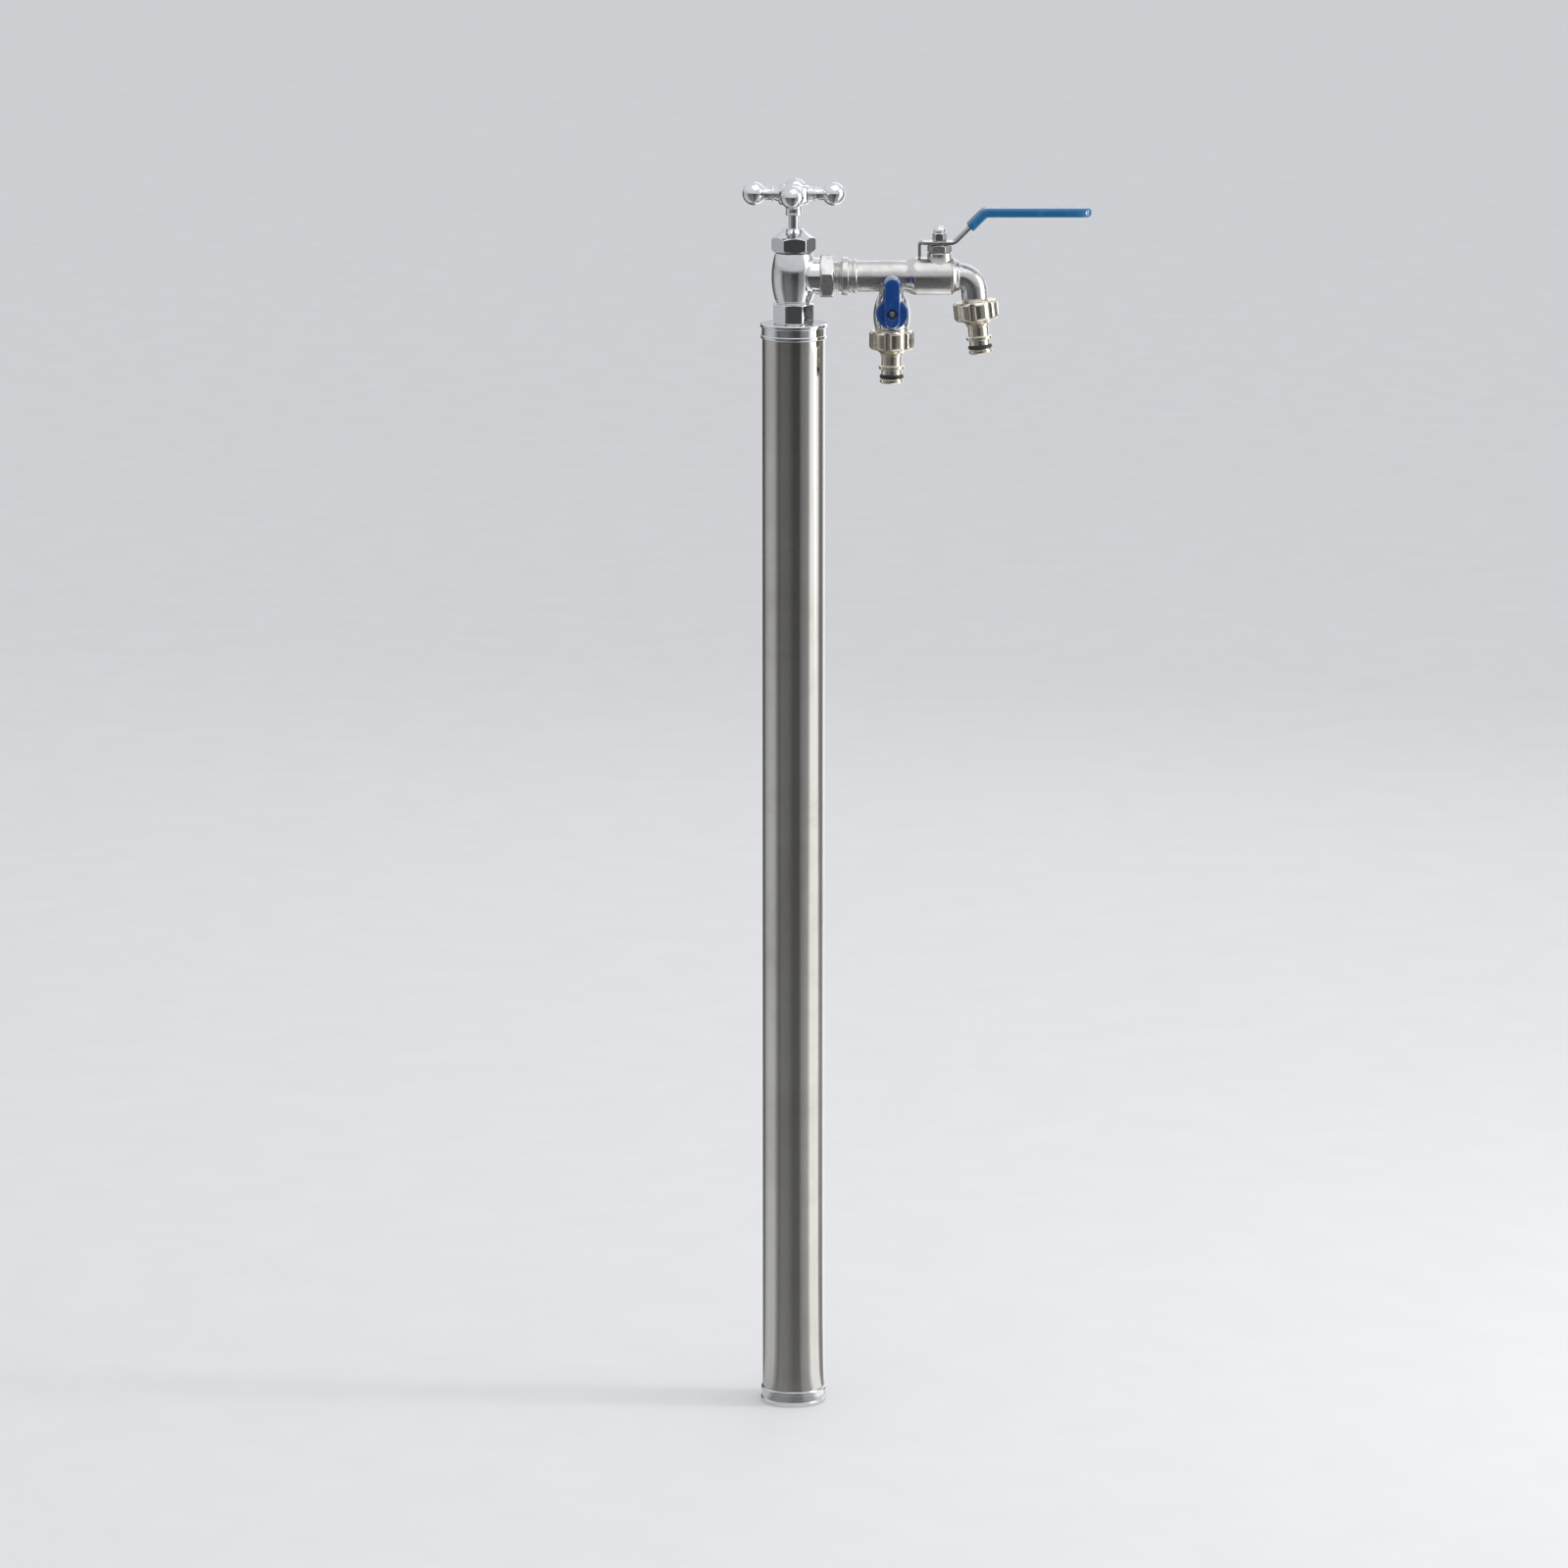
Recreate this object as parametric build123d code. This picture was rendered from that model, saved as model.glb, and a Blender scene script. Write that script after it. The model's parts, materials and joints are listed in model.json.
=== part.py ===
from build123d import *
from math import cos, pi, radians, sin, sqrt
import os

# Garden standpipe in millimetres. +Z is up, the origin is the centre of the foot,
# and the side manifold runs along +X. The post is a tube with a riser inside it.
# A screw-down stop valve stands on the post, and two ball valves sit on the manifold.

# Shared fits
FIT = 0.05  # radial clearance of a thread, a press joint or a running fit
OVERRUN = 1.0  # how far a cut runs past the face that it opens

# Post
COLUMN_HEIGHT = 884.2  # ground to the rim of the top collar
TUBE_DIAMETER = 50.0
TUBE_WALL = 1.5
COLLAR_RIM_PROUD = 1.65
COLLAR_RIM_HEIGHT = 3.0
COLLAR_BAND_PROUD = 0.5
COLLAR_BAND_HEIGHT = 6.3
COLLAR_BEAD_PROUD = 1.25
COLLAR_BEAD_HEIGHT = 3.0
COLLAR_PLUG_LENGTH = 18.0
COLLAR_PLUG_WALL = 3.0
COLLAR_WEB = 4.0
COLLAR_RECESS_WALL = 1.4
COLLAR_RECESS_DEPTH = 7.0

# Water way through the post
SUPPLY_THREAD_RADIUS = 12.05
SUPPLY_THREAD_DEPTH = 12.0
SUPPLY_WALL = 2.5
SUPPLY_FLANGE = 3.0
SUPPLY_FLANGE_GAP = 0.9
SUPPLY_SEAT = 3.0  # shoulder between the supply thread and the riser's socket
LOCKNUT_HEIGHT = 6.0
LOCKNUT_CORNER_GAP = 0.5
WASHER_THICKNESS = 1.5
RISER_RADIUS = 11.0
RISER_WALL = 1.5
RISER_SOCKET_DEPTH = 14.0
RISER_SOCKET_WALL = 3.0
SPACER_THICKNESS = 6.0
SPACER_PLACE_SHARES = (1 / 3, 2 / 3)  # of the column's height
NIPPLE_THREAD_RADIUS = 13.1
NIPPLE_END_GAP = 1.0
NIPPLE_FLANGE = 3.0

# Stop valve body
OCTAGON_WALL = 2.85  # outside the nipple's thread
OCTAGON_HEIGHT = 16.0
OCTAGON_CROWN = 0.8
OCTAGON_TURN = 22.5  # degrees: a flat faces the front
OCTAGON_TOP_WALL = 2.0
WAIST_WALL = 4.5
WAIST_HEIGHT = 1.8
BARREL_WALL = 2.55  # outside the bonnet's thread
BARREL_BELLY = 3.0
BARREL_HEIGHT = 38.2
ARM_ABOVE_BARREL_FOOT = 19.6
INLET_BORE_RADIUS = 9.0
SEAT_HOLE_RADIUS = 6.5
SEAT_RIM_WIDTH = 1.5
SEAT_RIM_HEIGHT = 1.0
SEAT_WEB = 3.0
SEAT_BELOW_PORT = 0.4
CHAMBER_GAP = 3.1  # round the jumper's plate
PORT_RADIUS = 8.0
BOSS_WALL = 2.05  # outside the manifold's thread
BOSS_SHOWING = 3.4  # past the barrel's widest radius
BOSS_SOCKET_DEPTH = 7.0

# Bonnet and spindle
BONNET_THREAD_STEP = 0.5
BONNET_THREAD_LENGTH = 10.0
BONNET_GASKET = 0.8
BONNET_GASKET_WIDTH = 1.5
BONNET_HEX_PROUD = 0.8
BONNET_HEX_HEIGHT = 12.0
BONNET_CROWN = 1.8
BONNET_TOP_WALL = 3.3
BONNET_CONE_HEIGHT = 6.6
BONNET_TURN = 3.0  # degrees
SPINDLE_THREAD_STEP = 1.9
SPINDLE_THREAD_LENGTH = 21.3
SPINDLE_RADIUS = 4.1
SPINDLE_BORE_FIT = 0.1
SPINDLE_EXPOSED = 10.3
SPINDLE_DRIVE_STEP = 0.6
LIFT = 5.0  # travel of the spindle from shut to open
LIFT_MARGIN = 0.3
RING_DEPTH = 1.0
RING_HEIGHT = 2.0
RING_BELOW_BONNET_TOP = 8.5
TAP_WASHER_THICKNESS = 3.0
JUMPER_PLATE_PROUD = 0.4
JUMPER_PLATE_THICKNESS = 2.5
JUMPER_STEM_RADIUS = 3.0
JUMPER_STEM_LENGTH = 9.0
JUMPER_PIN_RADIUS = 2.0
JUMPER_GAP = 0.2
WASHER_NUT_FLATS = 7.0
WASHER_NUT_HEIGHT = 2.5

# Cross handle
HANDLE_TURN = -2.0  # degrees
HUB_NECK_WALL = 2.45
HUB_NECK_HEIGHT = 8.5
HUB_CORNER_RADIUS = 13.4
HUB_FLAT = 11.9  # axis to each flat that carries an arm
HUB_HEIGHT = 15.5
HUB_EDGE = 2.2
ARM_AXIS_ABOVE_HUB_FOOT = 8.6
HANDLE_TENON_RADIUS = 2.95
HANDLE_TENON_LENGTH = 4.0
HANDLE_ARM_ROOT_RADIUS = 6.0
HANDLE_ARM_RADIUS = 5.0
HANDLE_BEAD_PROUD = 0.9
HANDLE_BEAD_WIDTH = 1.4
HANDLE_BEAD_PLACE = 16.0  # along the arm, from the spindle's axis
HANDLE_BALL_RADIUS = 9.2
HANDLE_BALL_PLACE = 31.5
HANDLE_ARMS = 4
HANDLE_SCREW_RADIUS = 2.0
HANDLE_SCREW_HEAD_RADIUS = 4.5
HANDLE_SCREW_HEAD = 2.4
HANDLE_SCREW_LENGTH = 11.0
HANDLE_WEB = 2.2  # between the spindle's end and the screw's head
HANDLE_CAP_RADIUS = 7.5
HANDLE_CAP_THICKNESS = 1.4
HANDLE_CAP_DOME = 1.6
HANDLE_CAP_GAP = 0.3

# Side manifold, measured along its axis from the post's axis
ARM_THREAD_WALL = 3.3
ARM_BORE_RADIUS = 9.0
ARM_SOCKET_GAP = 0.2
LOCKRING_NUT_WIDTH = 10.6
LOCKRING_NUT_PROUD = 1.85
LOCKRING_NUT_CROWN = 1.6
LOCKRING_NUT_TURN = 20.0  # degrees
THREAD_SHOWING = 6.5
BACKING_RING_WALL = 2.65
BACKING_RING_WIDTH = 5.2
ARM_SHOULDER_PROUD = 0.7
ARM_SHOULDER_WIDTH = 2.6
ARM_GROOVE_DEPTH = 0.3
ARM_GROOVE_WIDTH = 0.8
ARM_COLLAR_PROUD = 1.0
ARM_COLLAR_WIDTH = 2.7
ARM_TUBE_WALL = 3.3
ARM_TUBE_LENGTH = 41.0
ARM_FLARE_WIDTH = 4.7
BALL_HOUSING_WALL = 3.0
BALL_HOUSING_LENGTH = 30.0
BALL_HOUSING_LIP = 0.3

# Ball valves: both have the same inner parts, placed from the ball's centre
BALL_RADIUS = 9.0
BALL_PORT_RADIUS = 5.5
BALL_SLOT_DEPTH = 2.5
BALL_SEAT_FIT = 0.03
SEAT_LIP = 0.3
SEAT_SHOULDER = 0.7
SEAT_BEHIND = 0.4
SEAT_WIDTH = 4.0
SEAT_HOLDER_WALL = 2.0
PLUG_GAP = 0.3  # end plug's face clear of the stem's flange
STEM_RADIUS = 4.5
STEM_TANG_WIDTH = 3.0
STEM_TANG_LENGTH = 8.0
STEM_TANG_GAP = 0.1
STEM_FLANGE_PROUD = 1.5
STEM_FLANGE_GAP = 1.2  # above the ball
STEM_FLANGE_THICKNESS = 2.0
STEM_WEB = 1.5
PACKING_WIDTH = 2.5
PACKING_HEIGHT = 2.5
GLAND_PLUG_HEIGHT = 2.6
GLAND_PROUD = 1.5
GLAND_HEIGHT = 6.1
GLAND_CROWN = 0.9
GLAND_TURN = -4.0  # degrees
STEM_BOSS_WALL = 2.55
STEM_SQUARE = 5.2
STEM_SQUARE_GAP = 0.1

# Lever of the end valve
LEVER_ABOVE_GLAND = 0.6
LEVER_THICKNESS = 2.5
LEVER_WIDTH = 17.0
LEVER_TAIL = 14.6
LEVER_BEND_PLACE = 12.0
LEVER_RISE = 24.1
LEVER_RUN = 24.0
LEVER_LENGTH = 116.0
LEVER_BEND_RADIUS = 7.0
STOP_TAB_WIDTH = 10.0
STOP_TAB_GAP = 0.8  # above the housing
STOP_TAB_THICKNESS = 2.5
SLEEVE_COVER = 2.45
SLEEVE_SIDE = 1.3
SLEEVE_CORNER = 2.8
SLEEVE_START_SHARE = 0.5  # of the lever's sloping run
SLEEVE_TIP = 4.4
ACORN_THREAD_RADIUS = 2.95
ACORN_THREAD_LENGTH = 8.0
ACORN_FLATS = 10.0
ACORN_HEX_HEIGHT = 6.4
ACORN_DOME_RADIUS = 4.8
ACORN_HEIGHT = 12.2
ACORN_CROWN = 0.5

# Bent spout
SPOUT_COLLAR_WIDTH = 1.3
SPOUT_NECK_PROUD = 1.75
SPOUT_NECK_WIDTH = 4.9
SPOUT_WALL = 3.25
SPOUT_BORE_RADIUS = 7.0
SPOUT_BEND_INSIDE = 1.25  # inner radius of the bend
SPOUT_TILT = 6.5  # degrees that the outlet leans away from the post
SPOUT_LEG = 9.3  # end of the bend to the top of the hose nut
OUTLET_THREAD_RADIUS = 13.2
OUTLET_THREAD_ABOVE = 1.0
OUTLET_THREAD_LENGTH = 8.0

# Front valve
FRONT_PLACE = 77.7  # along the manifold
FRONT_FORWARD = 4.0  # in front of the manifold's axis
FRONT_HANG = 13.6  # ball's centre below the manifold's underside
FRONT_TOP_WALL = 1.4
FRONT_TOP_BELOW_ARM = 4.9
FRONT_NECK_WALL = 0.7
FRONT_NECK_ABOVE_SEAT = 2.1
FRONT_BELLY_WALL = 2.6
FRONT_BELLY_HEIGHT = -2.0
FRONT_FOOT_WALL = 1.5
FRONT_FOOT_BELOW_SEAT = 5.3
FRONT_NIPPLE_WALL = 1.5
FRONT_RISER_BORE = 4.5
FRONT_NIPPLE_INSIDE = 3.0  # into the manifold's bore
FRONT_TAIL_COLLAR = 1.9
FRONT_HANDLE_ABOVE_GLAND = 0.7
FRONT_DISC_RADIUS = 13.2
FRONT_DISC_THICKNESS = 4.6
FRONT_DISC_FLAT = 12.2  # pivot to the cut lower edge of the disc
TONGUE_WIDTH = 14.6
TONGUE_REACH = 29.6
TONGUE_HEIGHT = 7.4
TONGUE_DRAFT = 13.0  # degrees
BOSS_WELL_RADIUS = 5.4
BOSS_WELL_DEPTH = 4.2
FRONT_SCREW_RADIUS = 1.45
FRONT_SCREW_LENGTH = 7.0
FRONT_SCREW_HEAD_RADIUS = 2.6
FRONT_SCREW_HEAD = 1.6
FRONT_SCREW_SHOULDER = 1.0

# Hose connector, measured along the flow from the top of its nut
HOSE_NUT_WALL = 4.55
HOSE_NUT_HEIGHT = 15.0
HOSE_NUT_EDGE = 1.6
HOSE_NUT_LOBES = 8
HOSE_NUT_SCALLOP_RADIUS = 4.4
HOSE_NUT_SCALLOP_DEPTH = 1.5
HOSE_NUT_TURN = 11.0  # degrees
HOSE_SKIRT_TOP_PROUD = 4.5
HOSE_SKIRT_END_PROUD = 1.2
HOSE_SKIRT_HEIGHT = 3.1
HOSE_GASKET_THICKNESS = 2.0
HOSE_FLANGE_THICKNESS = 2.0
HOSE_FLANGE_GAP = 0.3
SPIGOT_RADIUS = 8.1
SPIGOT_WALL = 2.6
SPIGOT_BEAD_PROUD = 0.8
SPIGOT_BEAD_WIDTH = 1.7
SPIGOT_BEAD_GAP = 0.2
SPIGOT_LOCK_PROUD = 2.0
SPIGOT_LOCK_PLACE = 13.2  # below the hose nut
SPIGOT_LOCK_WIDTH = 2.8
SPIGOT_GROOVE_PLACE = 20.2
SPIGOT_GROOVE_DEPTH = 1.1
SPIGOT_GROOVE_WIDTH = 3.1
SPIGOT_RING_PROUD = 1.4
SPIGOT_LIP_PROUD = 1.2
SPIGOT_LIP_GAP = 0.8
SPIGOT_LENGTH = 27.2
SPIGOT_TIP_CHAMFER = 1.0

# Radii worked out from the sizes above
TUBE_RADIUS = TUBE_DIAMETER / 2
TUBE_BORE = TUBE_RADIUS - TUBE_WALL
COLLAR_PLUG_RADIUS = TUBE_BORE - FIT
COLLAR_PLUG_BORE = COLLAR_PLUG_RADIUS - COLLAR_PLUG_WALL
FLANGE_RADIUS = COLLAR_PLUG_BORE - SUPPLY_FLANGE_GAP
SUPPLY_RADIUS = SUPPLY_THREAD_RADIUS + SUPPLY_WALL
RISER_BORE = RISER_RADIUS - RISER_WALL
OCTAGON_FLATS = 2 * (NIPPLE_THREAD_RADIUS + FIT + OCTAGON_WALL)
WAIST_RADIUS = INLET_BORE_RADIUS + WAIST_WALL
TAP_WASHER_RADIUS = SEAT_HOLE_RADIUS + SEAT_RIM_WIDTH
JUMPER_PLATE_RADIUS = TAP_WASHER_RADIUS + JUMPER_PLATE_PROUD
CHAMBER_RADIUS = JUMPER_PLATE_RADIUS + CHAMBER_GAP
BONNET_THREAD_RADIUS = CHAMBER_RADIUS + BONNET_THREAD_STEP
BARREL_END_RADIUS = BONNET_THREAD_RADIUS + FIT + BARREL_WALL
BARREL_MID_RADIUS = BARREL_END_RADIUS + BARREL_BELLY
BONNET_FLATS = 2 * (BARREL_END_RADIUS + BONNET_HEX_PROUD)
BONNET_TOP_RADIUS = SPINDLE_RADIUS + SPINDLE_BORE_FIT + BONNET_TOP_WALL
SPINDLE_THREAD_RADIUS = SPINDLE_RADIUS + SPINDLE_THREAD_STEP
SPINDLE_DRIVE_RADIUS = SPINDLE_RADIUS - SPINDLE_DRIVE_STEP
HUB_NECK_RADIUS = SPINDLE_RADIUS + FIT + HUB_NECK_WALL
ARM_THREAD_RADIUS = ARM_BORE_RADIUS + ARM_THREAD_WALL
ARM_TUBE_RADIUS = ARM_BORE_RADIUS + ARM_TUBE_WALL
BOSS_RADIUS = ARM_THREAD_RADIUS + FIT + BOSS_WALL
LOCKRING_NUT_FLATS = 2 * (BOSS_RADIUS + LOCKRING_NUT_PROUD)
BACKING_RING_RADIUS = ARM_THREAD_RADIUS + FIT + BACKING_RING_WALL
ARM_SHOULDER_RADIUS = ARM_THREAD_RADIUS + ARM_SHOULDER_PROUD
ARM_GROOVE_RADIUS = ARM_TUBE_RADIUS - ARM_GROOVE_DEPTH
ARM_COLLAR_RADIUS = ARM_TUBE_RADIUS + ARM_COLLAR_PROUD
SEAT_INNER_RADIUS = BALL_PORT_RADIUS + SEAT_LIP
SEAT_OUTER_RADIUS = BALL_RADIUS + SEAT_SHOULDER
CAVITY_RADIUS = SEAT_OUTER_RADIUS + FIT + SEAT_HOLDER_WALL + FIT
BALL_HOUSING_RADIUS = CAVITY_RADIUS + BALL_HOUSING_WALL
STEM_FLANGE_RADIUS = STEM_RADIUS + STEM_FLANGE_PROUD
PACKING_RADIUS = STEM_RADIUS + PACKING_WIDTH
STEM_BOSS_RADIUS = PACKING_RADIUS + FIT + STEM_BOSS_WALL
GLAND_FLATS = 2 * (PACKING_RADIUS + GLAND_PROUD)
SLEEVE_THICKNESS = LEVER_THICKNESS + 2 * SLEEVE_COVER
SLEEVE_WIDTH = LEVER_WIDTH + 2 * SLEEVE_SIDE
SPOUT_RADIUS = SPOUT_BORE_RADIUS + SPOUT_WALL
SPOUT_NECK_RADIUS = SPOUT_RADIUS + SPOUT_NECK_PROUD
SPOUT_BEND_RADIUS = SPOUT_RADIUS + SPOUT_BEND_INSIDE
FRONT_NECK_RADIUS = SEAT_OUTER_RADIUS + FRONT_NECK_WALL
FRONT_BELLY_RADIUS = CAVITY_RADIUS + FRONT_BELLY_WALL
FRONT_FOOT_RADIUS = CAVITY_RADIUS + FRONT_FOOT_WALL
FRONT_NIPPLE_RADIUS = FRONT_RISER_BORE + FRONT_NIPPLE_WALL
FRONT_TOP_RADIUS = FRONT_NIPPLE_RADIUS + FRONT_TOP_WALL
HOSE_NUT_RADIUS = OUTLET_THREAD_RADIUS + FIT + HOSE_NUT_WALL
HOSE_FLANGE_RADIUS = OUTLET_THREAD_RADIUS - HOSE_FLANGE_GAP
HOSE_SKIRT_TOP_RADIUS = SPIGOT_RADIUS + HOSE_SKIRT_TOP_PROUD
HOSE_SKIRT_END_RADIUS = SPIGOT_RADIUS + HOSE_SKIRT_END_PROUD
SPIGOT_BORE_RADIUS = SPIGOT_RADIUS - SPIGOT_WALL
SPIGOT_BEAD_RADIUS = SPIGOT_RADIUS + SPIGOT_BEAD_PROUD
SPIGOT_LOCK_RADIUS = SPIGOT_RADIUS + SPIGOT_LOCK_PROUD
SPIGOT_GROOVE_RADIUS = SPIGOT_RADIUS - SPIGOT_GROOVE_DEPTH
SPIGOT_RING_RADIUS = SPIGOT_RADIUS + SPIGOT_RING_PROUD
SPIGOT_LIP_RADIUS = SPIGOT_RADIUS + SPIGOT_LIP_PROUD

# Places worked out from the sizes above, upwards through the post and the stop valve
COLLAR_HEIGHT = COLLAR_RIM_HEIGHT + COLLAR_BAND_HEIGHT + COLLAR_BEAD_HEIGHT
RISER_FOOT = SUPPLY_THREAD_DEPTH + SUPPLY_SEAT
RISER_TOP = COLUMN_HEIGHT - COLLAR_WEB - WASHER_THICKNESS - NIPPLE_FLANGE - SUPPLY_SEAT
NIPPLE_SOCKET_DEPTH = OCTAGON_HEIGHT - OCTAGON_TOP_WALL
NIPPLE_THREAD_LENGTH = NIPPLE_SOCKET_DEPTH - NIPPLE_END_GAP
BARREL_FOOT = COLUMN_HEIGHT + OCTAGON_HEIGHT + WAIST_HEIGHT
BARREL_TOP = BARREL_FOOT + BARREL_HEIGHT
ARM_Z = BARREL_FOOT + ARM_ABOVE_BARREL_FOOT
SEAT_Z = ARM_Z - PORT_RADIUS - SEAT_BELOW_PORT
HEX_FOOT = BARREL_TOP + BONNET_GASKET
BONNET_TOP = HEX_FOOT + BONNET_HEX_HEIGHT + BONNET_CONE_HEIGHT
JUMPER_TOP = SEAT_Z + TAP_WASHER_THICKNESS + JUMPER_PLATE_THICKNESS
SPINDLE_FOOT = JUMPER_TOP + JUMPER_GAP
SPINDLE_SHOULDER = SPINDLE_FOOT + SPINDLE_THREAD_LENGTH
HANDLE_FOOT = BONNET_TOP + SPINDLE_EXPOSED
HUB_FOOT = HANDLE_FOOT + HUB_NECK_HEIGHT
HUB_TOP = HUB_FOOT + HUB_HEIGHT
HANDLE_AXIS_Z = HUB_FOOT + ARM_AXIS_ABOVE_HUB_FOOT
CAP_FOOT = HUB_TOP - HANDLE_CAP_THICKNESS
SCREW_HEAD_FOOT = CAP_FOOT - HANDLE_CAP_GAP - HANDLE_SCREW_HEAD
SPINDLE_TOP = SCREW_HEAD_FOOT - HANDLE_WEB

# Places along the manifold, from the post's axis
BOSS_REACH = BARREL_MID_RADIUS + BOSS_SHOWING
NUT_END = BOSS_REACH + LOCKRING_NUT_WIDTH
RING_START = NUT_END + THREAD_SHOWING
RING_END = RING_START + BACKING_RING_WIDTH
SHOULDER_END = RING_END + ARM_SHOULDER_WIDTH
GROOVE_END = SHOULDER_END + ARM_GROOVE_WIDTH
TUBE_START = GROOVE_END + ARM_COLLAR_WIDTH
TUBE_END = TUBE_START + ARM_TUBE_LENGTH
HOUSING_START = TUBE_END + ARM_FLARE_WIDTH
HOUSING_END = HOUSING_START + BALL_HOUSING_LENGTH
SPOUT_COLLAR_END = HOUSING_END + SPOUT_COLLAR_WIDTH
BEND_START = SPOUT_COLLAR_END + SPOUT_NECK_WIDTH

# Places in a ball valve, from the ball's centre
SEAT_BACK = BALL_RADIUS + SEAT_BEHIND
END_STEM_PLACE = HOUSING_END - SEAT_BACK - BALL_HOUSING_LIP
PLUG_START = STEM_FLANGE_RADIUS + PLUG_GAP
STEM_FLANGE_FOOT = BALL_RADIUS + STEM_FLANGE_GAP
STEM_FLANGE_TOP = STEM_FLANGE_FOOT + STEM_FLANGE_THICKNESS
PACKING_FOOT = STEM_FLANGE_TOP + STEM_TANG_GAP + STEM_WEB
GLAND_PLUG_FOOT = PACKING_FOOT + PACKING_HEIGHT
GLAND_FOOT = GLAND_PLUG_FOOT + GLAND_PLUG_HEIGHT
GLAND_TOP = GLAND_FOOT + GLAND_HEIGHT
LEVER_FOOT = GLAND_TOP + LEVER_ABOVE_GLAND
LEVER_TOP = LEVER_FOOT + LEVER_THICKNESS
FRONT_DROP = ARM_TUBE_RADIUS + FRONT_HANG
FRONT_Z = ARM_Z - FRONT_DROP
FRONT_TOP_HEIGHT = FRONT_DROP - FRONT_TOP_BELOW_ARM
FRONT_NECK_HEIGHT = SEAT_BACK + FRONT_NECK_ABOVE_SEAT
FRONT_FOOT_DEPTH = SEAT_BACK + FRONT_FOOT_BELOW_SEAT
FRONT_NIPPLE_TOP = ARM_BORE_RADIUS - FRONT_NIPPLE_INSIDE
FRONT_NUT_Z = FRONT_Z - FRONT_FOOT_DEPTH - FRONT_TAIL_COLLAR
FRONT_HANDLE_FOOT = GLAND_TOP + FRONT_HANDLE_ABOVE_GLAND
FRONT_HANDLE_TOP = FRONT_HANDLE_FOOT + FRONT_DISC_THICKNESS + TONGUE_HEIGHT
FRONT_WELL_FLOOR = FRONT_HANDLE_TOP - BOSS_WELL_DEPTH

# Places along the flow, from the top of a hose nut
GASKET_END = OUTLET_THREAD_LENGTH + HOSE_GASKET_THICKNESS
FLANGE_END = GASKET_END + HOSE_FLANGE_THICKNESS
SKIRT_END = HOSE_NUT_HEIGHT + HOSE_SKIRT_HEIGHT
SPIGOT_END = HOSE_NUT_HEIGHT + SPIGOT_LENGTH


def turned(*outline):
    """Solid of revolution about Z, from a closed outline of (radius, height) points."""
    face = make_face(Polyline(*outline, close=True))
    return revolve(Plane.XZ * face, Axis.Z)


def rod(radius, start, end):
    """Plain cylinder on Z."""
    return turned((0, start), (radius, start), (radius, end), (0, end))


def ring(outer, inner, start, end):
    """Plain tube on Z."""
    return turned((inner, start), (outer, start), (outer, end), (inner, end))


def prism(flats, sides, start, end, turn=0.0):
    """Straight prism on Z with the given size across its flats."""
    outline = Rot(0, 0, turn) * RegularPolygon(flats / 2, sides, major_radius=False)
    return Pos(0, 0, start) * extrude(outline, end - start)


def crowned_prism(flats, sides, start, end, crown, turn=0.0):
    """Prism with its corners turned back at both ends, as a nut is machined."""
    flat = flats / 2
    corner = flat / cos(pi / sides) + FIT
    envelope = turned(
        (0, start),
        (flat - FIT, start),
        (corner, start + crown),
        (corner, end - crown),
        (flat - FIT, end),
        (0, end),
    )
    return prism(flats, sides, start, end, turn) & envelope


def box(x_span, y_span, z_span):
    """Box from the (low, high) pair on each axis."""
    sizes = [high - low for low, high in (x_span, y_span, z_span)]
    places = [(high + low) / 2 for low, high in (x_span, y_span, z_span)]
    return Pos(*places) * Box(*sizes)


# Frames: each local part is built on +Z and carried to its place by one of these
ARM_FRAME = Pos(0, 0, ARM_Z) * Rot(0, 90, 0)
END_VALVE_FRAME = Pos(END_STEM_PLACE, 0, ARM_Z)
FRONT_VALVE_FRAME = Pos(FRONT_PLACE, -FRONT_FORWARD, FRONT_Z) * Rot(90, 0, 0) * Rot(0, 0, 90)
BEND_ANGLE = 90 - SPOUT_TILT
BEND_TURN = radians(BEND_ANGLE)
FLOW = Vector(cos(BEND_TURN), 0, -sin(BEND_TURN))
BEND_END = Vector(
    BEND_START + SPOUT_BEND_RADIUS * sin(BEND_TURN),
    0,
    ARM_Z - SPOUT_BEND_RADIUS * (1 - cos(BEND_TURN)),
)
END_NUT_FRAME = Plane(BEND_END + FLOW * SPOUT_LEG, x_dir=(0, 1, 0), z_dir=FLOW).location
FRONT_NUT_FRAME = Plane(
    (FRONT_PLACE, -FRONT_FORWARD, FRONT_NUT_Z), x_dir=(1, 0, 0), z_dir=(0, 0, -1)
).location


def collar(bore, recess):
    """End collar of the tube, with its rim on Z 0, a web that holds the fitting and a plug."""
    rim = TUBE_RADIUS + COLLAR_RIM_PROUD
    band = TUBE_RADIUS + COLLAR_BAND_PROUD
    bead = TUBE_RADIUS + COLLAR_BEAD_PROUD
    band_top = COLLAR_RIM_HEIGHT + COLLAR_BAND_HEIGHT
    plug_top = COLLAR_HEIGHT + COLLAR_PLUG_LENGTH
    web_top = recess + COLLAR_WEB
    body = turned(
        (bore, 0),
        (rim, 0),
        (rim, COLLAR_RIM_HEIGHT),
        (band, COLLAR_RIM_HEIGHT),
        (band, band_top),
        (bead, band_top),
        (bead, COLLAR_HEIGHT),
        (COLLAR_PLUG_RADIUS, COLLAR_HEIGHT),
        (COLLAR_PLUG_RADIUS, plug_top),
        (COLLAR_PLUG_BORE, plug_top),
        (COLLAR_PLUG_BORE, web_top),
        (bore, web_top),
    )
    if recess:
        body -= rod(TUBE_RADIUS - COLLAR_RECESS_WALL, -OVERRUN, recess)
    return body


def base_collar():
    """Collar at the foot, with a recess that takes the locknut."""
    return collar(SUPPLY_RADIUS + FIT, COLLAR_RECESS_DEPTH)


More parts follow.
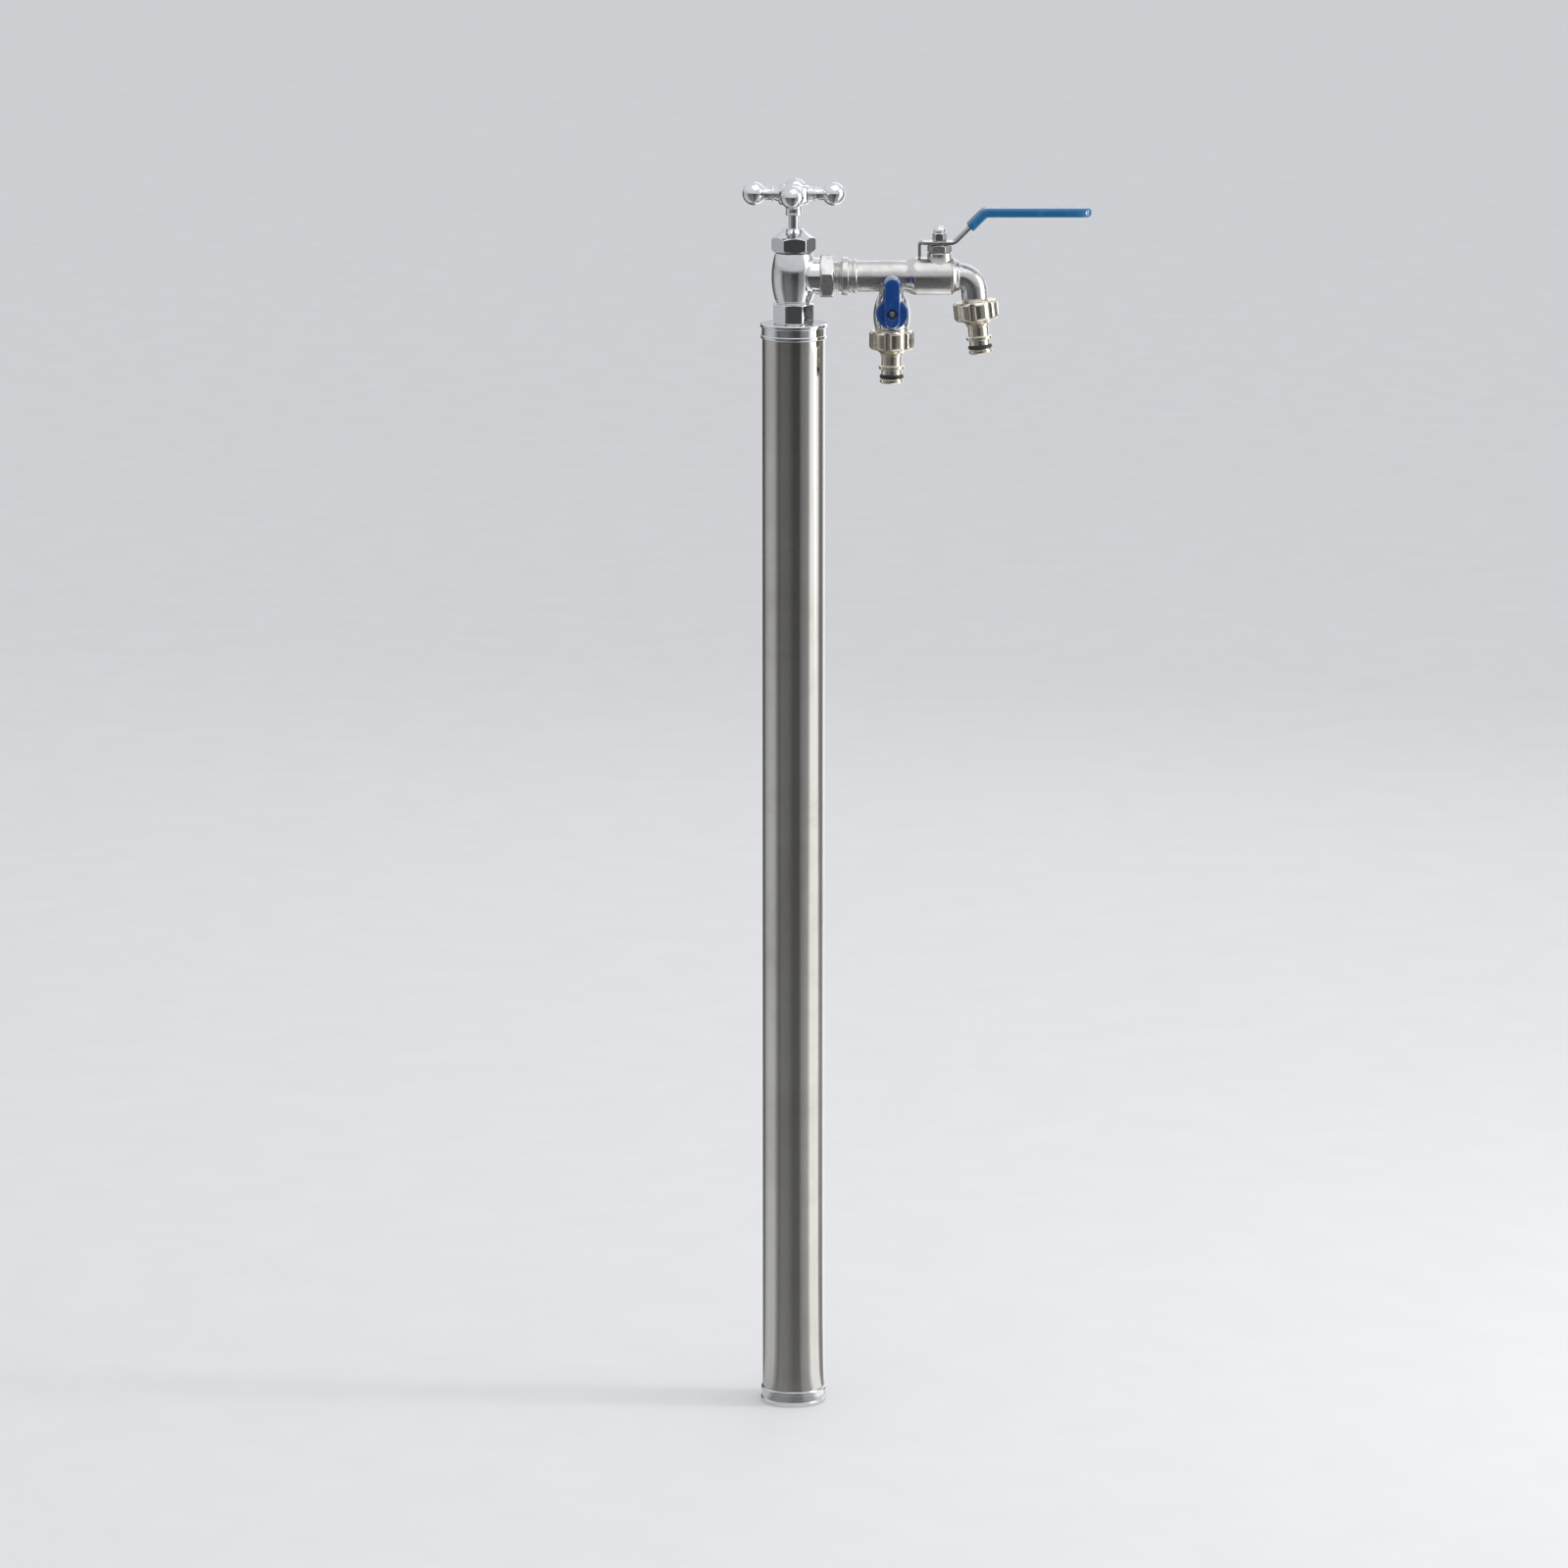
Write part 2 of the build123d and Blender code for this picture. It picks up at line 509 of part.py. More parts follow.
def top_collar():
    """The same collar the other way up, under the stop valve."""
    return Pos(0, 0, COLUMN_HEIGHT) * Rot(180, 0, 0) * collar(NIPPLE_THREAD_RADIUS + FIT, 0)


def post_tube():
    """Polished tube between the two collars."""
    return ring(TUBE_RADIUS, TUBE_BORE, COLLAR_HEIGHT, COLUMN_HEIGHT - COLLAR_HEIGHT)


def inlet_socket():
    """Threaded supply socket in the foot, with a flange and a socket for the riser."""
    flange_foot = COLLAR_RECESS_DEPTH + COLLAR_WEB + WASHER_THICKNESS
    flange_top = flange_foot + SUPPLY_FLANGE
    sleeve_top = RISER_FOOT + RISER_SOCKET_DEPTH
    socket_radius = RISER_RADIUS + FIT
    return turned(
        (SUPPLY_THREAD_RADIUS, 0),
        (SUPPLY_RADIUS, 0),
        (SUPPLY_RADIUS, flange_foot),
        (FLANGE_RADIUS, flange_foot),
        (FLANGE_RADIUS, flange_top),
        (socket_radius + RISER_SOCKET_WALL, flange_top),
        (socket_radius + RISER_SOCKET_WALL, sleeve_top),
        (socket_radius, sleeve_top),
        (socket_radius, RISER_FOOT),
        (RISER_BORE, RISER_FOOT),
        (RISER_BORE, SUPPLY_THREAD_DEPTH),
        (SUPPLY_THREAD_RADIUS, SUPPLY_THREAD_DEPTH),
    )


def inlet_gasket():
    """Washer under the supply socket's flange."""
    foot = COLLAR_RECESS_DEPTH + COLLAR_WEB
    return ring(FLANGE_RADIUS, SUPPLY_RADIUS + FIT, foot, foot + WASHER_THICKNESS)


def inlet_locknut():
    """Hexagon nut that clamps the supply socket against the foot collar's web."""
    corner = TUBE_RADIUS - COLLAR_RECESS_WALL - LOCKNUT_CORNER_GAP
    foot = COLLAR_RECESS_DEPTH - LOCKNUT_HEIGHT
    nut = prism(2 * corner * cos(pi / 6), 6, foot, COLLAR_RECESS_DEPTH)
    return nut - rod(SUPPLY_RADIUS + FIT, foot - OVERRUN, COLLAR_RECESS_DEPTH + OVERRUN)


def riser_pipe():
    """Water pipe inside the tube."""
    return ring(RISER_RADIUS, RISER_BORE, RISER_FOOT, RISER_TOP)


def riser_spacer(share):
    """Disc that centres the riser in the tube."""
    place = COLUMN_HEIGHT * share
    return ring(TUBE_BORE - FIT, RISER_RADIUS + FIT, place, place + SPACER_THICKNESS)


def top_nipple():
    """Nipple on the riser: its flange pulls the stop valve down on the top collar."""
    socket_radius = RISER_RADIUS + FIT
    flange_top = COLUMN_HEIGHT - COLLAR_WEB - WASHER_THICKNESS
    flange_foot = flange_top - NIPPLE_FLANGE
    sleeve_foot = RISER_TOP - RISER_SOCKET_DEPTH
    thread_top = COLUMN_HEIGHT + NIPPLE_THREAD_LENGTH
    return turned(
        (socket_radius, sleeve_foot),
        (socket_radius + RISER_SOCKET_WALL, sleeve_foot),
        (socket_radius + RISER_SOCKET_WALL, flange_foot),
        (FLANGE_RADIUS, flange_foot),
        (FLANGE_RADIUS, flange_top),
        (NIPPLE_THREAD_RADIUS, flange_top),
        (NIPPLE_THREAD_RADIUS, thread_top),
        (RISER_BORE, thread_top),
        (RISER_BORE, RISER_TOP),
        (socket_radius, RISER_TOP),
    )


def top_gasket():
    """Washer between the nipple's flange and the top collar's web."""
    top = COLUMN_HEIGHT - COLLAR_WEB
    return ring(FLANGE_RADIUS, NIPPLE_THREAD_RADIUS + FIT, top - WASHER_THICKNESS, top)


def valve_body():
    """Stop valve body: octagon, waist, bellied barrel with a seat inside, and a side boss."""
    octagon_top = COLUMN_HEIGHT + OCTAGON_HEIGHT
    octagon = crowned_prism(OCTAGON_FLATS, 8, COLUMN_HEIGHT, octagon_top, OCTAGON_CROWN, OCTAGON_TURN)
    waist = rod(WAIST_RADIUS, octagon_top, BARREL_FOOT)
    belly = ThreePointArc(
        (BARREL_END_RADIUS, BARREL_FOOT), (BARREL_MID_RADIUS, ARM_Z), (BARREL_END_RADIUS, BARREL_TOP)
    )
    edges = Polyline(
        (BARREL_END_RADIUS, BARREL_TOP), (0, BARREL_TOP), (0, BARREL_FOOT), (BARREL_END_RADIUS, BARREL_FOOT)
    )
    barrel = revolve(Plane.XZ * make_face(belly + edges), Axis.Z)
    boss = ARM_FRAME * rod(BOSS_RADIUS, 0, BOSS_REACH)
    socket_top = COLUMN_HEIGHT + NIPPLE_SOCKET_DEPTH
    web_top = SEAT_Z - SEAT_RIM_HEIGHT
    web_foot = web_top - SEAT_WEB
    rim = SEAT_HOLE_RADIUS + SEAT_RIM_WIDTH
    thread = BONNET_THREAD_RADIUS + FIT
    thread_foot = BARREL_TOP - BONNET_THREAD_LENGTH
    hollow = turned(
        (0, COLUMN_HEIGHT - OVERRUN),
        (NIPPLE_THREAD_RADIUS + FIT, COLUMN_HEIGHT - OVERRUN),
        (NIPPLE_THREAD_RADIUS + FIT, socket_top),
        (INLET_BORE_RADIUS, socket_top),
        (INLET_BORE_RADIUS, web_foot),
        (SEAT_HOLE_RADIUS, web_foot),
        (SEAT_HOLE_RADIUS, SEAT_Z),
        (rim, SEAT_Z),
        (rim, web_top),
        (CHAMBER_RADIUS, web_top),
        (CHAMBER_RADIUS, thread_foot),
        (thread, thread_foot),
        (thread, BARREL_TOP + OVERRUN),
        (0, BARREL_TOP + OVERRUN),
    )
    port = ARM_FRAME * rod(PORT_RADIUS, 0, BOSS_REACH)
    socket = ARM_FRAME * rod(ARM_THREAD_RADIUS + FIT, BOSS_REACH - BOSS_SOCKET_DEPTH, BOSS_REACH + OVERRUN)
    return octagon + waist + barrel + boss - hollow - port - socket


def bonnet_gasket():
    """Washer between the barrel and the bonnet."""
    inner = BONNET_THREAD_RADIUS + FIT
    return ring(inner + BONNET_GASKET_WIDTH, inner, BARREL_TOP, HEX_FOOT)


def bonnet():
    """Headwork: thread, hexagon and coned top, bored for the spindle."""
    hex_top = HEX_FOOT + BONNET_HEX_HEIGHT
    thread_foot = BARREL_TOP - BONNET_THREAD_LENGTH
    hexagon = crowned_prism(BONNET_FLATS, 6, HEX_FOOT, hex_top, BONNET_CROWN, BONNET_TURN)
    cone = turned(
        (0, hex_top),
        (BONNET_FLATS / 2 - FIT, hex_top),
        (BONNET_TOP_RADIUS, BONNET_TOP),
        (0, BONNET_TOP),
    )
    bore = SPINDLE_RADIUS + SPINDLE_BORE_FIT
    thread_bore = SPINDLE_THREAD_RADIUS + FIT
    thread_top = SPINDLE_SHOULDER + LIFT + LIFT_MARGIN
    hollow = turned(
        (0, thread_foot - OVERRUN),
        (thread_bore, thread_foot - OVERRUN),
        (thread_bore, thread_top),
        (bore, thread_top),
        (bore, BONNET_TOP + OVERRUN),
        (0, BONNET_TOP + OVERRUN),
    )
    return hexagon + cone + rod(BONNET_THREAD_RADIUS, thread_foot, HEX_FOOT) - hollow


def spindle_ring_span():
    """Low and high end of the seal's groove on the spindle."""
    low = BONNET_TOP - RING_BELOW_BONNET_TOP
    return low, low + RING_HEIGHT


def spindle():
    """Turning stem: thread below, plain stem with a seal groove, drive end for the handle."""
    low, high = spindle_ring_span()
    groove = SPINDLE_RADIUS - RING_DEPTH
    drive_foot = HANDLE_FOOT + SPINDLE_RADIUS
    pocket = JUMPER_STEM_RADIUS + SPINDLE_BORE_FIT
    pocket_top = JUMPER_TOP + JUMPER_STEM_LENGTH + JUMPER_GAP
    tapped = HANDLE_SCREW_RADIUS + FIT
    tapped_foot = SPINDLE_TOP + HANDLE_WEB - HANDLE_SCREW_LENGTH - OVERRUN
    return turned(
        (pocket, SPINDLE_FOOT),
        (SPINDLE_THREAD_RADIUS, SPINDLE_FOOT),
        (SPINDLE_THREAD_RADIUS, SPINDLE_SHOULDER),
        (SPINDLE_RADIUS, SPINDLE_SHOULDER),
        (SPINDLE_RADIUS, low),
        (groove, low),
        (groove, high),
        (SPINDLE_RADIUS, high),
        (SPINDLE_RADIUS, drive_foot),
        (SPINDLE_DRIVE_RADIUS, drive_foot),
        (SPINDLE_DRIVE_RADIUS, SPINDLE_TOP),
        (tapped, SPINDLE_TOP),
        (tapped, tapped_foot),
        (0, tapped_foot),
        (0, pocket_top),
        (pocket, pocket_top),
    )


def spindle_oring():
    """Seal in the spindle's groove."""
    low, high = spindle_ring_span()
    return ring(SPINDLE_RADIUS + FIT, SPINDLE_RADIUS - RING_DEPTH, low, high)


def jumper():
    """Plug that the spindle lifts: guide stem, plate and the pin that holds the washer."""
    plate_foot = SEAT_Z + TAP_WASHER_THICKNESS
    pin_foot = SEAT_Z - WASHER_NUT_HEIGHT
    return turned(
        (0, pin_foot),
        (JUMPER_PIN_RADIUS, pin_foot),
        (JUMPER_PIN_RADIUS, plate_foot),
        (JUMPER_PLATE_RADIUS, plate_foot),
        (JUMPER_PLATE_RADIUS, JUMPER_TOP),
        (JUMPER_STEM_RADIUS, JUMPER_TOP),
        (JUMPER_STEM_RADIUS, JUMPER_TOP + JUMPER_STEM_LENGTH),
        (0, JUMPER_TOP + JUMPER_STEM_LENGTH),
    )


def tap_washer():
    """Soft washer that shuts on the seat."""
    return ring(TAP_WASHER_RADIUS, JUMPER_PIN_RADIUS + FIT, SEAT_Z, SEAT_Z + TAP_WASHER_THICKNESS)


def washer_nut():
    """Small nut under the tap washer."""
    foot = SEAT_Z - WASHER_NUT_HEIGHT
    nut = prism(WASHER_NUT_FLATS, 6, foot, SEAT_Z)
    return nut - rod(JUMPER_PIN_RADIUS + FIT, foot - OVERRUN, SEAT_Z + OVERRUN)


def handle_arm_frame(number):
    """Places an arm that is built along +Z on one of the hub's four flats."""
    turn = HANDLE_TURN + number * 360 / HANDLE_ARMS
    return Pos(0, 0, HANDLE_AXIS_Z) * Rot(0, 0, turn) * Rot(0, 90, 0)


def handle_hub():
    """Hub of the cross handle: neck, four flats for the arms, and wells for screw and cap."""
    edge_radius = HUB_CORNER_RADIUS - HUB_EDGE
    head = turned(
        (0, HUB_FOOT),
        (edge_radius, HUB_FOOT),
        (HUB_CORNER_RADIUS, HUB_FOOT + HUB_EDGE),
        (HUB_CORNER_RADIUS, HUB_TOP - HUB_EDGE),
        (edge_radius, HUB_TOP),
        (0, HUB_TOP),
    )
    head &= prism(2 * HUB_FLAT, HANDLE_ARMS, HUB_FOOT, HUB_TOP, HANDLE_TURN + 180 / HANDLE_ARMS)
    tenon = HANDLE_TENON_RADIUS + FIT
    for number in range(HANDLE_ARMS):
        head -= handle_arm_frame(number) * rod(tenon, HUB_FLAT - HANDLE_TENON_LENGTH, HUB_FLAT + OVERRUN)
    neck = rod(HUB_NECK_RADIUS, HANDLE_FOOT, HUB_FOOT)
    drive_foot = HANDLE_FOOT + SPINDLE_RADIUS
    drive = SPINDLE_DRIVE_RADIUS + FIT
    hollow = turned(
        (0, HANDLE_FOOT - OVERRUN),
        (SPINDLE_RADIUS + FIT, HANDLE_FOOT - OVERRUN),
        (SPINDLE_RADIUS + FIT, drive_foot),
        (drive, drive_foot),
        (drive, SPINDLE_TOP),
        (HANDLE_SCREW_RADIUS + FIT, SPINDLE_TOP),
        (HANDLE_SCREW_RADIUS + FIT, SCREW_HEAD_FOOT),
        (HANDLE_SCREW_HEAD_RADIUS + HANDLE_CAP_GAP, SCREW_HEAD_FOOT),
        (HANDLE_SCREW_HEAD_RADIUS + HANDLE_CAP_GAP, CAP_FOOT),
        (HANDLE_CAP_RADIUS + FIT, CAP_FOOT),
        (HANDLE_CAP_RADIUS + FIT, HUB_TOP + OVERRUN),
        (0, HUB_TOP + OVERRUN),
    )
    return head + neck - hollow


def handle_arm(number):
    """Turned arm of the cross handle, with a tenon, a bead and a ball end."""
    neck_end = HANDLE_BALL_PLACE - sqrt(HANDLE_BALL_RADIUS**2 - HANDLE_ARM_RADIUS**2)
    bead_end = HANDLE_BEAD_PLACE + HANDLE_BEAD_WIDTH
    bead = HANDLE_ARM_RADIUS + HANDLE_BEAD_PROUD
    tenon_foot = HUB_FLAT - HANDLE_TENON_LENGTH
    tip = HANDLE_BALL_PLACE + HANDLE_BALL_RADIUS
    shaft = Polyline(
        (0, tip),
        (0, tenon_foot),
        (HANDLE_TENON_RADIUS, tenon_foot),
        (HANDLE_TENON_RADIUS, HUB_FLAT),
        (HANDLE_ARM_ROOT_RADIUS, HUB_FLAT),
        (HANDLE_ARM_RADIUS, HANDLE_BEAD_PLACE),
        (bead, HANDLE_BEAD_PLACE),
        (bead, bead_end),
        (HANDLE_ARM_RADIUS, bead_end),
        (HANDLE_ARM_RADIUS, neck_end),
    )
    ball = ThreePointArc((HANDLE_ARM_RADIUS, neck_end), (HANDLE_BALL_RADIUS, HANDLE_BALL_PLACE), (0, tip))
    return handle_arm_frame(number) * revolve(Plane.XZ * make_face(shaft + ball), Axis.Z)


def handle_screw():
    """Screw that holds the cross handle on the spindle."""
    shank_foot = SCREW_HEAD_FOOT - HANDLE_SCREW_LENGTH
    shank = rod(HANDLE_SCREW_RADIUS, shank_foot, SCREW_HEAD_FOOT)
    return shank + rod(HANDLE_SCREW_HEAD_RADIUS, SCREW_HEAD_FOOT, SCREW_HEAD_FOOT + HANDLE_SCREW_HEAD)


def handle_cap():
    """Domed cap over the handle's screw."""
    top = HUB_TOP + HANDLE_CAP_DOME
    sphere = (HANDLE_CAP_RADIUS**2 + HANDLE_CAP_DOME**2) / (2 * HANDLE_CAP_DOME)
    half = HANDLE_CAP_RADIUS / 2
    shoulder = top - sphere + sqrt(sphere**2 - half**2)
    dome = ThreePointArc((HANDLE_CAP_RADIUS, HUB_TOP), (half, shoulder), (0, top))
    edges = Polyline((0, top), (0, CAP_FOOT), (HANDLE_CAP_RADIUS, CAP_FOOT), (HANDLE_CAP_RADIUS, HUB_TOP))
    return revolve(Plane.XZ * make_face(dome + edges), Axis.Z)


def arm_lock_nut():
    """Hexagon nut that locks the manifold's thread against the side boss."""
    nut = crowned_prism(
        LOCKRING_NUT_FLATS, 6, BOSS_REACH, NUT_END, LOCKRING_NUT_CROWN, LOCKRING_NUT_TURN
    )
    return ARM_FRAME * (nut - rod(ARM_THREAD_RADIUS + FIT, BOSS_REACH - OVERRUN, NUT_END + OVERRUN))


def arm_ring():
    """Backing ring on the manifold's thread, against its shoulder."""
    return ARM_FRAME * ring(BACKING_RING_RADIUS, ARM_THREAD_RADIUS + FIT, RING_START, RING_END)


def stem_opening(outer):
    """Hollow that a ball valve's stem, packing and gland need, up to the top of its boss."""
    return turned(
        (0, 0),
        (STEM_FLANGE_RADIUS + STEM_TANG_GAP, 0),
        (STEM_FLANGE_RADIUS + STEM_TANG_GAP, STEM_FLANGE_TOP + STEM_TANG_GAP),
        (STEM_RADIUS + FIT, STEM_FLANGE_TOP + STEM_TANG_GAP),
        (STEM_RADIUS + FIT, PACKING_FOOT),
        (PACKING_RADIUS + FIT, PACKING_FOOT),
        (PACKING_RADIUS + FIT, outer),
        (0, outer),
    )


def arm_manifold():
    """Manifold: thread, shoulder, collar, tube with the front port, and the end valve's housing."""
    outside = turned(
        (0, BOSS_REACH - BOSS_SOCKET_DEPTH + ARM_SOCKET_GAP),
        (ARM_THREAD_RADIUS, BOSS_REACH - BOSS_SOCKET_DEPTH + ARM_SOCKET_GAP),
        (ARM_THREAD_RADIUS, RING_END),
        (ARM_SHOULDER_RADIUS, RING_END),
        (ARM_SHOULDER_RADIUS, SHOULDER_END),
        (ARM_GROOVE_RADIUS, SHOULDER_END),
        (ARM_GROOVE_RADIUS, GROOVE_END),
        (ARM_COLLAR_RADIUS, GROOVE_END),
        (ARM_COLLAR_RADIUS, TUBE_START),
        (ARM_TUBE_RADIUS, TUBE_START),
        (ARM_TUBE_RADIUS, TUBE_END),
        (BALL_HOUSING_RADIUS, HOUSING_START),
        (BALL_HOUSING_RADIUS, HOUSING_END),
        (0, HOUSING_END),
    )
    seat_start = END_STEM_PLACE - SEAT_BACK
    cavity_start = seat_start + SEAT_WIDTH
    hollow = turned(
        (0, 0),
        (ARM_BORE_RADIUS, 0),
        (ARM_BORE_RADIUS, seat_start),
        (SEAT_OUTER_RADIUS + FIT, seat_start),
        (SEAT_OUTER_RADIUS + FIT, cavity_start),
        (CAVITY_RADIUS, cavity_start),
        (CAVITY_RADIUS, HOUSING_END + OVERRUN),
        (0, HOUSING_END + OVERRUN),
    )
    boss = END_VALVE_FRAME * rod(STEM_BOSS_RADIUS, 0, GLAND_FOOT)
    front_port = Pos(FRONT_PLACE, -FRONT_FORWARD, 0) * rod(
        FRONT_NIPPLE_RADIUS + FIT, FRONT_Z, ARM_Z - FRONT_NIPPLE_TOP
    )
    opening = END_VALVE_FRAME * stem_opening(GLAND_FOOT + OVERRUN)
    return ARM_FRAME * outside + boss - ARM_FRAME * hollow - opening - front_port


def valve_ball():
    """Bored ball, open along local X, with a slot for the stem's tang on top."""
    port = Rot(0, 90, 0) * rod(BALL_PORT_RADIUS, -BALL_RADIUS - OVERRUN, BALL_RADIUS + OVERRUN)
    half_slot = STEM_TANG_WIDTH / 2 + STEM_TANG_GAP
    slot = box(
        (-half_slot, half_slot),
        (-BALL_RADIUS, BALL_RADIUS),
        (BALL_RADIUS - BALL_SLOT_DEPTH, BALL_RADIUS + OVERRUN),
    )
    return Sphere(BALL_RADIUS) - port - slot


def valve_seat(side):
    """Soft seat ring on one side of the ball, along local X."""
    blank = ring(SEAT_OUTER_RADIUS, SEAT_INNER_RADIUS, SEAT_BACK - SEAT_WIDTH, SEAT_BACK)
    seat = blank - Sphere(BALL_RADIUS + BALL_SEAT_FIT)
    return Rot(0, 90 * side, 0) * seat


def valve_stem(square_top, end_top, end_radius):
    """Stem with a tang in the ball's slot, a retaining flange, a square and a reduced end."""
    tang_foot = BALL_RADIUS - BALL_SLOT_DEPTH + STEM_TANG_GAP
    half_width = STEM_TANG_WIDTH / 2
    half_length = STEM_TANG_LENGTH / 2
    square_foot = GLAND_TOP + LEVER_ABOVE_GLAND - FIT
    half_square = STEM_SQUARE / 2
    tang = box((-half_width, half_width), (-half_length, half_length), (tang_foot, STEM_FLANGE_FOOT))
    flange = rod(STEM_FLANGE_RADIUS, STEM_FLANGE_FOOT, STEM_FLANGE_TOP)
    shaft = rod(STEM_RADIUS, STEM_FLANGE_TOP, square_foot)
    square = box((-half_square, half_square), (-half_square, half_square), (square_foot, square_top))
    stem = tang + flange + shaft + square
    if end_top > square_top:
        stem += rod(end_radius, square_top, end_top)
    return stem


def packing():
    """Packing ring round a ball valve's stem."""
    return ring(PACKING_RADIUS, STEM_RADIUS + FIT, PACKING_FOOT, GLAND_PLUG_FOOT)


def gland_nut():
    """Gland nut that presses the packing down: plug below, hexagon above."""
    hexagon = crowned_prism(GLAND_FLATS, 6, GLAND_FOOT, GLAND_TOP, GLAND_CROWN, GLAND_TURN)
    plug = rod(PACKING_RADIUS, GLAND_PLUG_FOOT, GLAND_FOOT)
    return hexagon + plug - rod(STEM_RADIUS + FIT, GLAND_PLUG_FOOT - OVERRUN, GLAND_TOP + OVERRUN)


def lever_corners(tail, end):
    """Corner points of the lever's mid line, from the given tail to the given end."""
    low = LEVER_FOOT + LEVER_THICKNESS / 2
    return [
        (tail, 0, low),
        (LEVER_BEND_PLACE, 0, low),
        (LEVER_BEND_PLACE + LEVER_RUN, 0, low + LEVER_RISE),
        (end, 0, low + LEVER_RISE),
    ]


def square_hole(foot, top):
    """Square hole that fits a stem's square."""
    half = STEM_SQUARE / 2 + STEM_SQUARE_GAP
    return box((-half, half), (-half, half), (foot, top))


def end_lever():
    """Flat steel lever with two bends and a stop tab behind the stem."""
    path = FilletPolyline(*lever_corners(-LEVER_TAIL, LEVER_LENGTH), radius=LEVER_BEND_RADIUS)
    start = Plane(path @ 0, x_dir=(0, 1, 0), z_dir=(1, 0, 0))
    plate = sweep(start * Rectangle(LEVER_WIDTH, LEVER_THICKNESS), path)
    half_tab = STOP_TAB_WIDTH / 2
    tab = box(
        (-LEVER_TAIL - STOP_TAB_THICKNESS, -LEVER_TAIL),
        (-half_tab, half_tab),
        (BALL_HOUSING_RADIUS + STOP_TAB_GAP, LEVER_TOP),
    )
    return plate + tab - square_hole(LEVER_FOOT - OVERRUN, LEVER_TOP + OVERRUN)


def end_lever_sleeve():
    """Soft sleeve over the upper part of the lever, closed round its tip."""
    corners = lever_corners(-LEVER_TAIL, LEVER_LENGTH)
    slope_start, slope_end = Vector(*corners[1]), Vector(*corners[2])
    begin = slope_start + (slope_end - slope_start) * SLEEVE_START_SHARE
    tip = Vector(LEVER_LENGTH + SLEEVE_TIP, 0, slope_end.Z)
    path = FilletPolyline(begin, slope_end, tip, radius=LEVER_BEND_RADIUS)
    across = Plane(path @ 0, x_dir=(0, 1, 0), z_dir=path % 0)
    cover = sweep(across * RectangleRounded(SLEEVE_WIDTH, SLEEVE_THICKNESS, SLEEVE_CORNER), path)
    core_path = FilletPolyline(*corners, radius=LEVER_BEND_RADIUS)
    start = Plane(core_path @ 0, x_dir=(0, 1, 0), z_dir=(1, 0, 0))
    core = sweep(start * Rectangle(LEVER_WIDTH + 2 * FIT, LEVER_THICKNESS + 2 * FIT), core_path)
    plan_length = tip.X + SLEEVE_WIDTH / 2
    plan = Pos(tip.X - plan_length / 2, 0, 0) * SlotOverall(plan_length, SLEEVE_WIDTH)
    foot = LEVER_FOOT - SLEEVE_THICKNESS
    outline = Pos(0, 0, foot) * extrude(plan, tip.Z + SLEEVE_THICKNESS - foot)
    return (cover & outline) - core


def end_acorn_nut():
    """Domed nut that holds the lever on its stem."""
    hex_top = LEVER_TOP + ACORN_HEX_HEIGHT
    top = LEVER_TOP + ACORN_HEIGHT
    hexagon = crowned_prism(ACORN_FLATS, 6, LEVER_TOP, hex_top, ACORN_CROWN, GLAND_TURN)
    shoulder = top - ACORN_DOME_RADIUS
    dome_arc = ThreePointArc(
        (ACORN_DOME_RADIUS, shoulder),
        (ACORN_DOME_RADIUS * cos(pi / 4), shoulder + ACORN_DOME_RADIUS * sin(pi / 4)),
        (0, top),
    )
    sides = Polyline((0, top), (0, hex_top), (ACORN_DOME_RADIUS, hex_top), (ACORN_DOME_RADIUS, shoulder))
    dome = revolve(Plane.XZ * make_face(dome_arc + sides), Axis.Z)
    thread_top = LEVER_TOP + ACORN_THREAD_LENGTH + FIT
    return hexagon + dome - rod(ACORN_THREAD_RADIUS + FIT, LEVER_TOP - OVERRUN, thread_top)


def outlet_end(start, bore, frame):
    """Outside and bore of a male hose thread whose nut's top is at the frame's origin."""
    thread = ring(OUTLET_THREAD_RADIUS, bore, -OUTLET_THREAD_ABOVE, OUTLET_THREAD_LENGTH)
    leg = rod(SPOUT_RADIUS, -start, 0)
    return frame * (thread + leg - rod(bore, -start - OVERRUN, OUTLET_THREAD_LENGTH + OVERRUN))


def seat_holder():
    """End plug of a ball valve's housing, along local +Z, with a recess for the outer seat."""
    return ring(CAVITY_RADIUS - FIT, SEAT_OUTER_RADIUS + FIT, PLUG_START, SEAT_BACK)


def end_spout():
    """End plug of the end valve, neck, bend and straight leg with the hose thread."""
    neck = turned(
        (0, END_STEM_PLACE + SEAT_BACK),
        (CAVITY_RADIUS - FIT, END_STEM_PLACE + SEAT_BACK),
        (CAVITY_RADIUS - FIT, HOUSING_END),
        (BALL_HOUSING_RADIUS, HOUSING_END),
        (BALL_HOUSING_RADIUS, SPOUT_COLLAR_END),
        (SPOUT_NECK_RADIUS, BEND_START),
        (0, BEND_START),
    )
    neck -= rod(SPOUT_BORE_RADIUS, END_STEM_PLACE, BEND_START + OVERRUN)
    holder = Pos(0, 0, END_STEM_PLACE) * seat_holder()
    axis = Axis((BEND_START, 0, ARM_Z - SPOUT_BEND_RADIUS), (0, 1, 0))
    section = Plane((BEND_START, 0, ARM_Z), x_dir=(0, 1, 0), z_dir=(1, 0, 0)) * (
        Circle(SPOUT_RADIUS) - Circle(SPOUT_BORE_RADIUS)
    )
    bend = revolve(section, axis, BEND_ANGLE)
    return ARM_FRAME * (neck + holder) + bend + outlet_end(SPOUT_LEG, SPOUT_BORE_RADIUS, END_NUT_FRAME)


